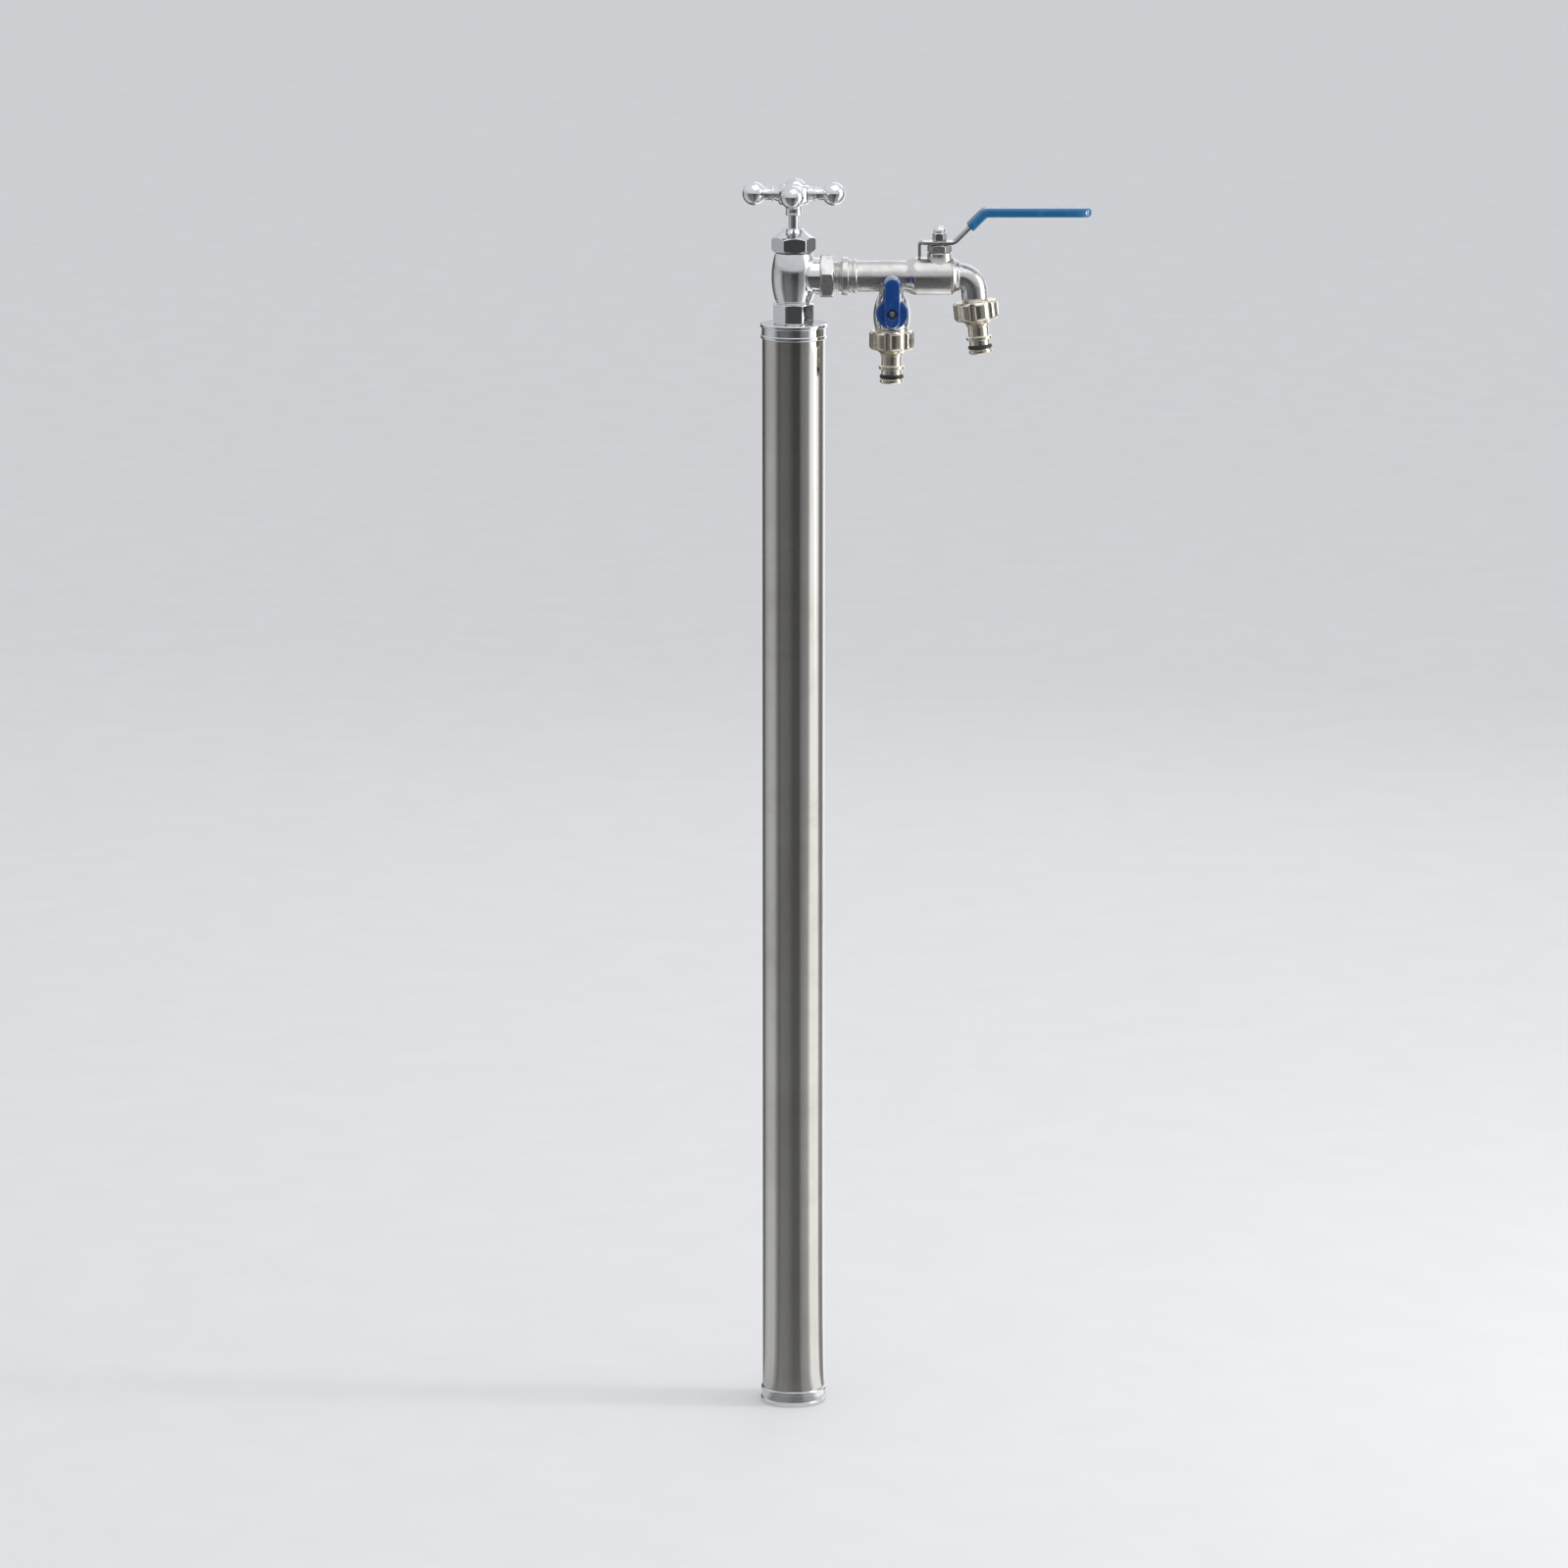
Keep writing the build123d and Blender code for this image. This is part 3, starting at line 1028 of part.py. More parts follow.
def front_valve_body():
    """Pear-shaped body under and in front of the manifold, with a nipple up into it."""
    lower = ThreePointArc(
        (FRONT_NECK_RADIUS, FRONT_NECK_HEIGHT),
        (FRONT_BELLY_RADIUS, FRONT_BELLY_HEIGHT),
        (FRONT_FOOT_RADIUS, -FRONT_FOOT_DEPTH),
    )
    upper = Polyline(
        (FRONT_FOOT_RADIUS, -FRONT_FOOT_DEPTH),
        (0, -FRONT_FOOT_DEPTH),
        (0, FRONT_TOP_HEIGHT),
        (FRONT_TOP_RADIUS, FRONT_TOP_HEIGHT),
        (FRONT_NECK_RADIUS, FRONT_NECK_HEIGHT),
    )
    upright = Pos(FRONT_PLACE, -FRONT_FORWARD, FRONT_Z)
    body = upright * revolve(Plane.XZ * make_face(lower + upper), Axis.Z)
    body += FRONT_VALVE_FRAME * rod(STEM_BOSS_RADIUS, 0, GLAND_FOOT)
    body -= ARM_FRAME * rod(ARM_TUBE_RADIUS + FIT, TUBE_START, HOUSING_START)
    nipple_top = FRONT_DROP - FRONT_NIPPLE_TOP
    body += upright * rod(FRONT_NIPPLE_RADIUS, SEAT_BACK, nipple_top)
    hollow = turned(
        (0, -FRONT_FOOT_DEPTH - OVERRUN),
        (CAVITY_RADIUS, -FRONT_FOOT_DEPTH - OVERRUN),
        (CAVITY_RADIUS, SEAT_BACK - SEAT_WIDTH),
        (SEAT_OUTER_RADIUS + FIT, SEAT_BACK - SEAT_WIDTH),
        (SEAT_OUTER_RADIUS + FIT, SEAT_BACK),
        (FRONT_RISER_BORE, SEAT_BACK),
        (FRONT_RISER_BORE, nipple_top + OVERRUN),
        (0, nipple_top + OVERRUN),
    )
    opening = FRONT_VALVE_FRAME * stem_opening(GLAND_FOOT + OVERRUN)
    return body - upright * hollow - opening


def front_tail():
    """Tail of the front valve: plug that holds the lower seat, collar and hose thread."""
    plug = seat_holder() + ring(CAVITY_RADIUS - FIT, SPOUT_BORE_RADIUS, SEAT_BACK, FRONT_FOOT_DEPTH)
    collar_end = FRONT_FOOT_DEPTH + FRONT_TAIL_COLLAR
    thread = ring(
        OUTLET_THREAD_RADIUS, SPOUT_BORE_RADIUS, FRONT_FOOT_DEPTH, collar_end + OUTLET_THREAD_LENGTH
    )
    down = Pos(FRONT_PLACE, -FRONT_FORWARD, FRONT_Z) * Rot(180, 0, 0)
    return down * (plug + thread)


def front_handle():
    """Plastic wing handle: a disc with a cut lower edge and a long tongue standing off it."""
    disc = rod(FRONT_DISC_RADIUS, 0, FRONT_DISC_THICKNESS)
    disc &= box(
        (-FRONT_DISC_RADIUS, FRONT_DISC_RADIUS),
        (-FRONT_DISC_FLAT, FRONT_DISC_RADIUS),
        (0, FRONT_DISC_THICKNESS),
    )
    length = TONGUE_REACH + FRONT_DISC_FLAT
    plan = Pos(0, TONGUE_REACH - length / 2) * Rot(0, 0, 90) * SlotOverall(length, TONGUE_WIDTH)
    root = extrude(plan, FRONT_DISC_THICKNESS)
    wing = Pos(0, 0, FRONT_DISC_THICKNESS) * extrude(plan, TONGUE_HEIGHT, taper=TONGUE_DRAFT)
    top = FRONT_DISC_THICKNESS + TONGUE_HEIGHT
    floor = top - BOSS_WELL_DEPTH
    well = rod(BOSS_WELL_RADIUS, floor, top + OVERRUN)
    screw_hole = rod(FRONT_SCREW_RADIUS + FIT, 0, top)
    socket = square_hole(-OVERRUN, floor - FRONT_SCREW_SHOULDER)
    blade = disc + root + wing - well - screw_hole - socket
    return FRONT_VALVE_FRAME * Pos(0, 0, FRONT_HANDLE_FOOT) * Rot(0, 0, -90) * blade


def front_handle_screw():
    """Screw that holds the wing handle on its stem."""
    head_foot = FRONT_WELL_FLOOR
    shank = rod(FRONT_SCREW_RADIUS, head_foot - FRONT_SCREW_LENGTH, head_foot)
    head = rod(FRONT_SCREW_HEAD_RADIUS, head_foot, head_foot + FRONT_SCREW_HEAD)
    return FRONT_VALVE_FRAME * (shank + head)


def front_stem():
    """Stem of the front valve, tapped for the handle's screw."""
    top = FRONT_WELL_FLOOR - FRONT_SCREW_SHOULDER - FIT
    tapped_foot = FRONT_WELL_FLOOR - FRONT_SCREW_LENGTH - OVERRUN
    stem = valve_stem(top, top, STEM_RADIUS)
    return FRONT_VALVE_FRAME * (stem - rod(FRONT_SCREW_RADIUS + FIT, tapped_foot, top + OVERRUN))


def hose_nut():
    """Lobed hose nut with a coned skirt, threaded inside."""
    outline = Circle(HOSE_NUT_RADIUS)
    scallop_place = HOSE_NUT_RADIUS + HOSE_NUT_SCALLOP_RADIUS - HOSE_NUT_SCALLOP_DEPTH
    for lobe in range(HOSE_NUT_LOBES):
        turn = HOSE_NUT_TURN + lobe * 360 / HOSE_NUT_LOBES
        outline -= Rot(0, 0, turn) * Pos(scallop_place, 0) * Circle(HOSE_NUT_SCALLOP_RADIUS)
    edge_radius = HOSE_NUT_RADIUS - HOSE_NUT_EDGE
    envelope = turned(
        (0, 0),
        (edge_radius, 0),
        (HOSE_NUT_RADIUS, HOSE_NUT_EDGE),
        (HOSE_NUT_RADIUS, HOSE_NUT_HEIGHT - HOSE_NUT_EDGE),
        (edge_radius, HOSE_NUT_HEIGHT),
        (0, HOSE_NUT_HEIGHT),
    )
    grip = extrude(outline, HOSE_NUT_HEIGHT) & envelope
    skirt = turned(
        (0, HOSE_NUT_HEIGHT),
        (HOSE_SKIRT_TOP_RADIUS, HOSE_NUT_HEIGHT),
        (HOSE_SKIRT_END_RADIUS, SKIRT_END),
        (0, SKIRT_END),
    )
    hollow = turned(
        (0, -OVERRUN),
        (OUTLET_THREAD_RADIUS + FIT, -OVERRUN),
        (OUTLET_THREAD_RADIUS + FIT, FLANGE_END),
        (SPIGOT_RADIUS + FIT, FLANGE_END),
        (SPIGOT_RADIUS + FIT, SKIRT_END + OVERRUN),
        (0, SKIRT_END + OVERRUN),
    )
    return grip + skirt - hollow


def hose_gasket():
    """Gasket between the outlet's thread and the spigot's flange."""
    return ring(HOSE_FLANGE_RADIUS, SPIGOT_BORE_RADIUS, OUTLET_THREAD_LENGTH, GASKET_END)


def spigot_flange():
    """Flange pressed on the spigot, which keeps it in the nut."""
    return ring(HOSE_FLANGE_RADIUS, SPIGOT_RADIUS + FIT, GASKET_END, FLANGE_END)


def spigot_places():
    """Named stations along the spigot, from the top of the hose nut."""
    bead = SKIRT_END + SPIGOT_BEAD_GAP
    lock = HOSE_NUT_HEIGHT + SPIGOT_LOCK_PLACE
    groove = HOSE_NUT_HEIGHT + SPIGOT_GROOVE_PLACE
    return bead, lock, groove


def hose_spigot():
    """Push-on spigot: bead, locking ring, seal groove and lipped tip, bored through."""
    bead, lock, groove = spigot_places()
    bead_end = bead + SPIGOT_BEAD_WIDTH
    lock_end = lock + SPIGOT_LOCK_WIDTH
    groove_end = groove + SPIGOT_GROOVE_WIDTH
    lip = groove_end + SPIGOT_LIP_GAP
    return turned(
        (SPIGOT_BORE_RADIUS, GASKET_END),
        (SPIGOT_RADIUS, GASKET_END),
        (SPIGOT_RADIUS, bead),
        (SPIGOT_BEAD_RADIUS, bead),
        (SPIGOT_BEAD_RADIUS, bead_end),
        (SPIGOT_RADIUS, bead_end),
        (SPIGOT_RADIUS, lock),
        (SPIGOT_LOCK_RADIUS, lock),
        (SPIGOT_LOCK_RADIUS, lock_end),
        (SPIGOT_RADIUS, lock_end),
        (SPIGOT_RADIUS, groove),
        (SPIGOT_GROOVE_RADIUS, groove),
        (SPIGOT_GROOVE_RADIUS, groove_end),
        (SPIGOT_RADIUS, groove_end),
        (SPIGOT_RADIUS, lip),
        (SPIGOT_LIP_RADIUS, lip),
        (SPIGOT_LIP_RADIUS, SPIGOT_END - SPIGOT_TIP_CHAMFER),
        (SPIGOT_LIP_RADIUS - SPIGOT_TIP_CHAMFER, SPIGOT_END),
        (SPIGOT_BORE_RADIUS, SPIGOT_END),
    )


def spigot_oring():
    """Seal in the spigot's groove."""
    groove = spigot_places()[2]
    return ring(SPIGOT_RING_RADIUS, SPIGOT_GROOVE_RADIUS, groove, groove + SPIGOT_GROOVE_WIDTH)


def all_nodes():
    """Every sub-part by its node name."""
    nodes = {
        "base_collar": base_collar(),
        "post_tube": post_tube(),
        "top_collar": top_collar(),
        "inlet_socket": inlet_socket(),
        "inlet_gasket": inlet_gasket(),
        "inlet_locknut": inlet_locknut(),
        "riser_pipe": riser_pipe(),
        "top_nipple": top_nipple(),
        "top_gasket": top_gasket(),
        "valve_body": valve_body(),
        "bonnet_gasket": bonnet_gasket(),
        "bonnet": bonnet(),
        "spindle": spindle(),
        "spindle_oring": spindle_oring(),
        "jumper": jumper(),
        "tap_washer": tap_washer(),
        "washer_nut": washer_nut(),
        "handle_hub": handle_hub(),
        "handle_screw": handle_screw(),
        "handle_cap": handle_cap(),
        "arm_lock_nut": arm_lock_nut(),
        "arm_ring": arm_ring(),
        "arm_manifold": arm_manifold(),
        "end_stem": END_VALVE_FRAME
        * valve_stem(LEVER_TOP, LEVER_TOP + ACORN_THREAD_LENGTH, ACORN_THREAD_RADIUS),
        "end_lever": END_VALVE_FRAME * end_lever(),
        "end_lever_sleeve": END_VALVE_FRAME * end_lever_sleeve(),
        "end_acorn_nut": END_VALVE_FRAME * end_acorn_nut(),
        "end_spout": end_spout(),
        "front_valve_body": front_valve_body(),
        "front_tail": front_tail(),
        "front_stem": front_stem(),
        "front_handle": front_handle(),
        "front_handle_screw": front_handle_screw(),
    }
    for number, share in enumerate(SPACER_PLACE_SHARES, start=1):
        nodes[f"riser_spacer_{number}"] = riser_spacer(share)
    for number in range(HANDLE_ARMS):
        nodes[f"handle_arm_{number + 1}"] = handle_arm(number)
    for side, frame in (("end", END_VALVE_FRAME), ("front", FRONT_VALVE_FRAME)):
        nodes[f"{side}_ball"] = frame * valve_ball()
        nodes[f"{side}_seat_inlet"] = frame * valve_seat(1 if side == "front" else -1)
        nodes[f"{side}_seat_outlet"] = frame * valve_seat(-1 if side == "front" else 1)
        nodes[f"{side}_packing"] = frame * packing()
        nodes[f"{side}_gland_nut"] = frame * gland_nut()
    for side, frame in (("end", END_NUT_FRAME), ("front", FRONT_NUT_FRAME)):
        nodes[f"{side}_hose_nut"] = frame * hose_nut()
        nodes[f"{side}_hose_gasket"] = frame * hose_gasket()
        nodes[f"{side}_spigot_flange"] = frame * spigot_flange()
        nodes[f"{side}_hose_spigot"] = frame * hose_spigot()
        nodes[f"{side}_spigot_oring"] = frame * spigot_oring()
    return nodes


os.makedirs("parts", exist_ok=True)
for node, shape in all_nodes().items():
    export_step(shape, f"parts/{node}.step")
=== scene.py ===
import json
import logging
import math
from collections.abc import Callable
from dataclasses import dataclass
from enum import Enum

import bpy
import numpy as np
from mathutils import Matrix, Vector

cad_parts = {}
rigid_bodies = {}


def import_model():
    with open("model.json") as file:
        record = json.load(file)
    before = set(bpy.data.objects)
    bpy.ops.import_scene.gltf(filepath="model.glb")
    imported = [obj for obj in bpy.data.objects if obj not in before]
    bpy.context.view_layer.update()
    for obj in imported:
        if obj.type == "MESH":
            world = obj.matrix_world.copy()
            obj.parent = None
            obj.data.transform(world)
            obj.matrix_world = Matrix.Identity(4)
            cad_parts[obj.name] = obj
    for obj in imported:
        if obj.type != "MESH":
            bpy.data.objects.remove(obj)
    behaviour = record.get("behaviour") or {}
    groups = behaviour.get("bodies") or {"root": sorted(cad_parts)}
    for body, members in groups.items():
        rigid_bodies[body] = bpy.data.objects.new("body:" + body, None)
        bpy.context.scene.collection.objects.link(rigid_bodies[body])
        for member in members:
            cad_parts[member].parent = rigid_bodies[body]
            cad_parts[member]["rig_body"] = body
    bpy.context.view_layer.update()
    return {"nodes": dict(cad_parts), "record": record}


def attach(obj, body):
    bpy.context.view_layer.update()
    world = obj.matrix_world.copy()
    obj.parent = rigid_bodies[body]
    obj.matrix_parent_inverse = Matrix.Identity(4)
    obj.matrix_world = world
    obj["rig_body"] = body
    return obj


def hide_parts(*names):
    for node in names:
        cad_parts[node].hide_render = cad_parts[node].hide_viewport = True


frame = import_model()

# A garden standpipe: polished post, screw-down stop valve with a cross handle, and a side
# manifold with two ball valves. Sizes are in millimetres until a mesh is written in metres.
# The post stands on +Z, the manifold runs along +X and the camera looks along +Y.

MM = 0.001
LOG = logging.getLogger("standpipe")

Array = np.ndarray
Pair = tuple[float, float]
Triple = tuple[float, float, float]
Colour = Triple
RadiusRule = Callable[[Array, Array, Array], Array]
Socket = bpy.types.NodeSocket

# How far a nut's outline stands outside the corners that its flats cut.
HAIR = 0.05
# Points nearer to each other than this are one point.
TINY = 1e-5
# The share of an edge that the rounding of one of its corners may take.
NEARLY_HALF = 0.48


class Slot(Enum):
    """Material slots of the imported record."""

    POLISHED_STEEL = "polished_steel"
    CHROME = "chrome_trim"
    SATIN_NICKEL = "satin_nickel"
    WARM_NICKEL = "warm_nickel"
    BRASS = "brass_inner"
    PLAIN_STEEL = "plain_steel"
    RUBBER = "seal_rubber"
    SEAT_PLASTIC = "seat_plastic"
    BLUE_SLEEVE = "blue_sleeve"
    BLUE_WING = "blue_wing"


# Shapes


@dataclass(frozen=True)
class Place:
    """A local frame: its origin in millimetres, and where its x and z axes point."""

    origin: Triple = (0.0, 0.0, 0.0)
    x_axis: Triple = (1.0, 0.0, 0.0)
    z_axis: Triple = (0.0, 0.0, 1.0)

    def axes(self) -> Array:
        """Returns the three unit axes as rows."""
        z = np.array(self.z_axis) / np.linalg.norm(self.z_axis)
        x = np.array(self.x_axis) - z * np.dot(self.x_axis, z)
        x /= np.linalg.norm(x)
        return np.stack([x, np.cross(z, x), z])

    def carry(self, points: Array) -> Array:
        """Turns and shifts local points into the object's frame: origin + point times axes."""
        return np.array(self.origin) + points @ self.axes()


def softened(corners: Array, reach: Array, closed: bool, steps: int = 4) -> Array:
    """Rounds a path's corners, each by a parabola that leaves and joins its two edges.

    The parabola is (1-s)^2 start + 2s(1-s) corner + s^2 end, for s from 0 to 1, where start
    and end lie on the edges at the corner's reach, or at nearly half of a shorter edge.

    Args:
        corners: Path corners, one row each.
        reach: How far from each corner its rounding starts.
        closed: Whether the last corner joins the first.
        steps: Steps along each parabola.

    Returns:
        The rounded path, one row for each point.
    """
    before = np.roll(corners, 1, axis=0) - corners
    after = np.roll(corners, -1, axis=0) - corners
    long_before = np.maximum(np.linalg.norm(before, axis=1), TINY)
    long_after = np.maximum(np.linalg.norm(after, axis=1), TINY)
    cut = np.minimum(reach, NEARLY_HALF * np.minimum(long_before, long_after))
    if not closed:
        cut[[0, -1]] = 0.0
    start = corners + before * (cut / long_before)[:, None]
    end = corners + after * (cut / long_after)[:, None]
    s = np.linspace(0.0, 1.0, steps + 1)[None, :, None]
    bends = (1 - s) ** 2 * start[:, None] + 2 * s * (1 - s) * corners[:, None] + s**2 * end[:, None]
    path = bends.reshape(-1, corners.shape[1])
    apart = np.linalg.norm(np.diff(path, axis=0), axis=1) > TINY
    path = path[np.concatenate([[True], apart])]
    if closed and np.linalg.norm(path[0] - path[-1]) < TINY:
        path = path[:-1]
    return path


def lengths(path: Array) -> Array:
    """Returns each point's distance from the start, measured along the path."""
    return np.concatenate([[0.0], np.cumsum(np.linalg.norm(np.diff(path, axis=0), axis=1))])


def stationed(path: Array, stations: Array) -> Array:
    """Returns the points of a path at the given distances from its start."""
    return np.stack([np.interp(stations, lengths(path), column) for column in path.T], axis=1)


def refined(path: Array, longest: float, spare: float = 0.3) -> Array:
    """Adds evenly spaced stations to a path, so that no step is much longer than one length.

    Args:
        path: Path points, one row each.
        longest: Longest step wanted.
        spare: Share of a step that added stations keep from the path's own points.

    Returns:
        The path with its own points and the added ones, in order.
    """
    length = lengths(path)
    even = np.linspace(0.0, length[-1], int(length[-1] / longest) + 2)
    clear = np.abs(even[:, None] - length[None, :]).min(axis=1) > spare * longest
    return stationed(path, np.sort(np.concatenate([length, even[clear]])))


def looped(path: Array, longest: float) -> Array:
    """Returns a closed path with stations added, its last point joined to the first."""
    return refined(np.concatenate([path, path[:1]]), longest)[:-1]


def circle_through(a: Array, b: Array, c: Array) -> tuple[Array, float]:
    """Returns the centre, where the bisectors of a-b and a-c meet, and radius of a circle."""
    centre = np.linalg.solve(2 * np.stack([b - a, c - a]), np.array([b @ b - a @ a, c @ c - a @ a]))
    return centre, float(np.linalg.norm(a - centre))


class Outline:
    """A path of (radius, height) points with softened corners, from which a piece is turned."""

    def __init__(self, radius: float, height: float, soft: float = 0.0) -> None:
        """Starts the path.

        Args:
            radius: Distance from the turning axis.
            height: Place along the axis.
            soft: Reach of the corner's rounding.
        """
        self.points: list[Pair] = [(radius, height)]
        self.reaches: list[float] = [soft]

    def to(self, radius: float, height: float, soft: float = 0.0) -> "Outline":
        """Adds a straight run to a point, whose corner is softened by soft, and returns self."""
        self.points.append((radius, height))
        self.reaches.append(soft)
        return self

    def arc(self, through: Pair, end: Pair, soft: float = 0.0,
            steps: int = 18) -> "Outline":
        """Adds a circular arc from the last point through one point to another.

        Its points are the circle's centre plus the radius, turned evenly from the start's angle
        to the end's.

        Args:
            through: A point on the arc.
            end: The arc's last point.
            soft: Reach of the rounding at the end.
            steps: Steps along the arc.

        Returns:
            This outline.
        """
        a, b, c = (np.array(p, float) for p in (self.points[-1], through, end))
        centre, radius = circle_through(a, b, c)
        turn_a, turn_b, turn_c = (math.atan2(*(p - centre)[::-1]) for p in (a, b, c))
        sweep = (turn_c - turn_a) % math.tau
        if (turn_b - turn_a) % math.tau > sweep:
            sweep -= math.tau
        turns = turn_a + sweep * np.linspace(0.0, 1.0, steps + 1)[1:]
        places = centre + radius * np.stack([np.cos(turns), np.sin(turns)], axis=1)
        self.points += [tuple(p) for p in places]
        self.reaches += [0.0] * (steps - 1) + [soft]
        return self

    def path(self, closed: bool = False, longest: float = 1.5) -> Array:
        """Returns the softened path with no step much over the given length.

        Args:
            closed: Whether the path closes on itself, as a bored piece's does.
            longest: Longest step wanted, in millimetres.
        """
        path = softened(np.array(self.points), np.array(self.reaches), closed)
        return looped(path, longest) if closed else refined(path, longest)


def rod(radius: float, low: float, high: float, foot_soft: float, top_soft: float) -> Outline:
    """Returns a plain rod's outline from one height to another, with softened edges."""
    return Outline(0.0, low).to(radius, low, foot_soft).to(radius, high, top_soft).to(0.0, high)


def bored(inner: float, outer: float, low: float, high: float, soft: float,
          bore_soft: float = 0.0) -> Outline:
    """Returns a plain ring's outline, which closes on itself.

    Args:
        inner: Radius of the bore.
        outer: Radius of the rim.
        low: Height of one face.
        high: Height of the other face.
        soft: Reach of the rounding at the rim.
        bore_soft: Reach of the rounding at the bore.
    """
    outline = Outline(inner, low, bore_soft).to(outer, low, soft).to(outer, high, soft)
    return outline.to(inner, high, bore_soft)


@dataclass(frozen=True)
class Chamfer:
    """How a nut's corners are turned back at one end.

    Its face begins inside the flats, its slope rises to the corners, and both edges are soft.
    """

    inside: float
    rise: float
    face_soft: float
    corner_soft: float


def nut_blank(flats: float, sides: int, low: float, high: float, foot: Chamfer, top: Chamfer) -> Outline:
    """Returns a nut's outline from the middle of its foot to the edge of its top.

    Args:
        flats: Width over its flats.
        sides: Number of flats.
        low: Height of its foot.
        high: Height of its top.
        foot: How its corners are turned back at the foot.
        top: How they are turned back at the top.
    """
    flat = flats / 2
    corner = flat / math.cos(math.pi / sides) + HAIR
    outline = Outline(0.0, low).to(flat - foot.inside, low, foot.face_soft)
    outline.to(corner, low + foot.rise, foot.corner_soft).to(corner, high - top.rise, top.corner_soft)
    return outline.to(flat - top.inside, high, top.face_soft)


@dataclass(frozen=True)
class Shell:
    """A closed surface: points, and faces that point outwards."""

    points: Array
    quads: Array
    triangles: Array

    def outward(self) -> "Shell":
        """Returns the shell with its faces reversed if they enclose a negative volume."""
        corners = np.concatenate([self.quads[:, [0, 1, 2]], self.quads[:, [0, 2, 3]], self.triangles])
        a, b, c = (self.points[corners[:, k]] for k in range(3))
        if np.einsum("ij,ij->i", a, np.cross(b, c)).sum() < 0:
            return Shell(self.points, self.quads[:, ::-1], self.triangles[:, ::-1])
        return self


def turned_grid(radius: Array, height: Array, angle: Array) -> Array:
    """Returns points (r cos a, r sin a, h), from values that are rows by columns."""
    return np.stack([radius * np.cos(angle), radius * np.sin(angle), height], axis=-1)


def row_quads(rows: int, columns: int, wrapped: bool) -> Array:
    """Returns the quads between rows of points whose columns wrap round.

    Args:
        rows: Number of rows.
        columns: Points in each row.
        wrapped: Whether the last row also joins the first.
    """
    here = np.arange(columns)
    beside = (here + 1) % columns
    row = np.arange(rows if wrapped else rows - 1)[:, None]
    low, high = row * columns, (row + 1) % rows * columns
    return np.stack([low + here, low + beside, high + beside, high + here], axis=-1).reshape(-1, 4)


def skin(grid: Array, poles: tuple[Array, Array] | None) -> Shell:
    """Joins a grid of rows by columns into a closed shell. Columns always wrap round.

    Args:
        grid: Points, shaped rows, columns, 3.
        poles: The two points that close the first and last row, or None where rows wrap too.

    Returns:
        The closed shell, facing outwards.
    """
    rows, columns = grid.shape[:2]
    quads = row_quads(rows, columns, wrapped=poles is None)
    points = grid.reshape(-1, 3)
    if poles is None:
        return Shell(points, quads, np.empty((0, 3), int)).outward()
    here = np.arange(columns)
    beside = (here + 1) % columns
    top = (rows - 1) * columns
    first, last = len(points), len(points) + 1
    triangles = np.concatenate([
        np.stack([beside, here, np.full(columns, first)], axis=1),
        np.stack([top + here, top + beside, np.full(columns, last)], axis=1),
    ])
    return Shell(np.concatenate([points, np.stack(poles)]), quads, triangles).outward()


def turned(outline: Outline, place: Place, columns: int = 144, rule: RadiusRule | None = None,
           closed: bool = False, longest: float = 1.5) -> Shell:
    """Turns an outline about the place's z axis: (r cos a, r sin a, h) for each height and angle.

    Args:
        outline: Path of (radius, height) points. An open one starts and ends on the axis.
        place: Frame that the shell is carried to.
        columns: Steps round the axis.
        rule: Gives the radius from the outline's radius, the height and the angle, for facets,
            lobes and threads.
        closed: Whether the outline closes on itself, as a bored piece's does.
        longest: Longest step along the outline.

    Returns:
        The closed shell.
    """
    path = outline.path(closed, longest)
    body = path if closed else path[1:-1]
    angle = np.linspace(0.0, math.tau, columns, endpoint=False)[None, :]
    radius = np.repeat(body[:, :1], columns, axis=1)
    height = np.repeat(body[:, 1:], columns, axis=1)
    if rule is not None:
        radius = rule(radius, height, angle)
    ends = None if closed else tuple(place.carry(np.array([0.0, 0.0, path[k, 1]])) for k in (0, -1))
    return skin(place.carry(turned_grid(radius, height, angle)), ends)


def lesser(radius: Array, limit: Array, sharpness: float) -> Array:
    """Smooth smaller value of two radii above zero: (radius^-s + limit^-s)^(-1/s)."""
    return (np.maximum(radius, TINY) ** -sharpness + limit**-sharpness) ** (-1.0 / sharpness)


@dataclass(frozen=True)
class Facets:
    """Flats round a turned piece, between two heights.

    A flat's radius at angle a is its distance over cos(a - flat's angle). The piece's radius is
    the smooth smaller value of the outline's and the flats', so that every edge is rounded.
    """

    flats: float
    sides: int
    turn: float
    low: float
    high: float
    edge: float = 90.0
    corner: float = 90.0

    def __call__(self, radius: Array, height: Array, angle: Array) -> Array:
        """Returns the faceted radius of each point."""
        centres = np.radians(self.turn + (np.arange(self.sides) + 0.5) * 360 / self.sides)
        facing = np.clip(np.cos(angle[..., None] - centres), 0.0, None)
        nearest = (facing**self.corner).sum(axis=-1) ** (1 / self.corner)
        cut = lesser(radius, self.flats / 2 / nearest, self.edge)
        return np.where((height > self.low) & (height < self.high), cut, radius)


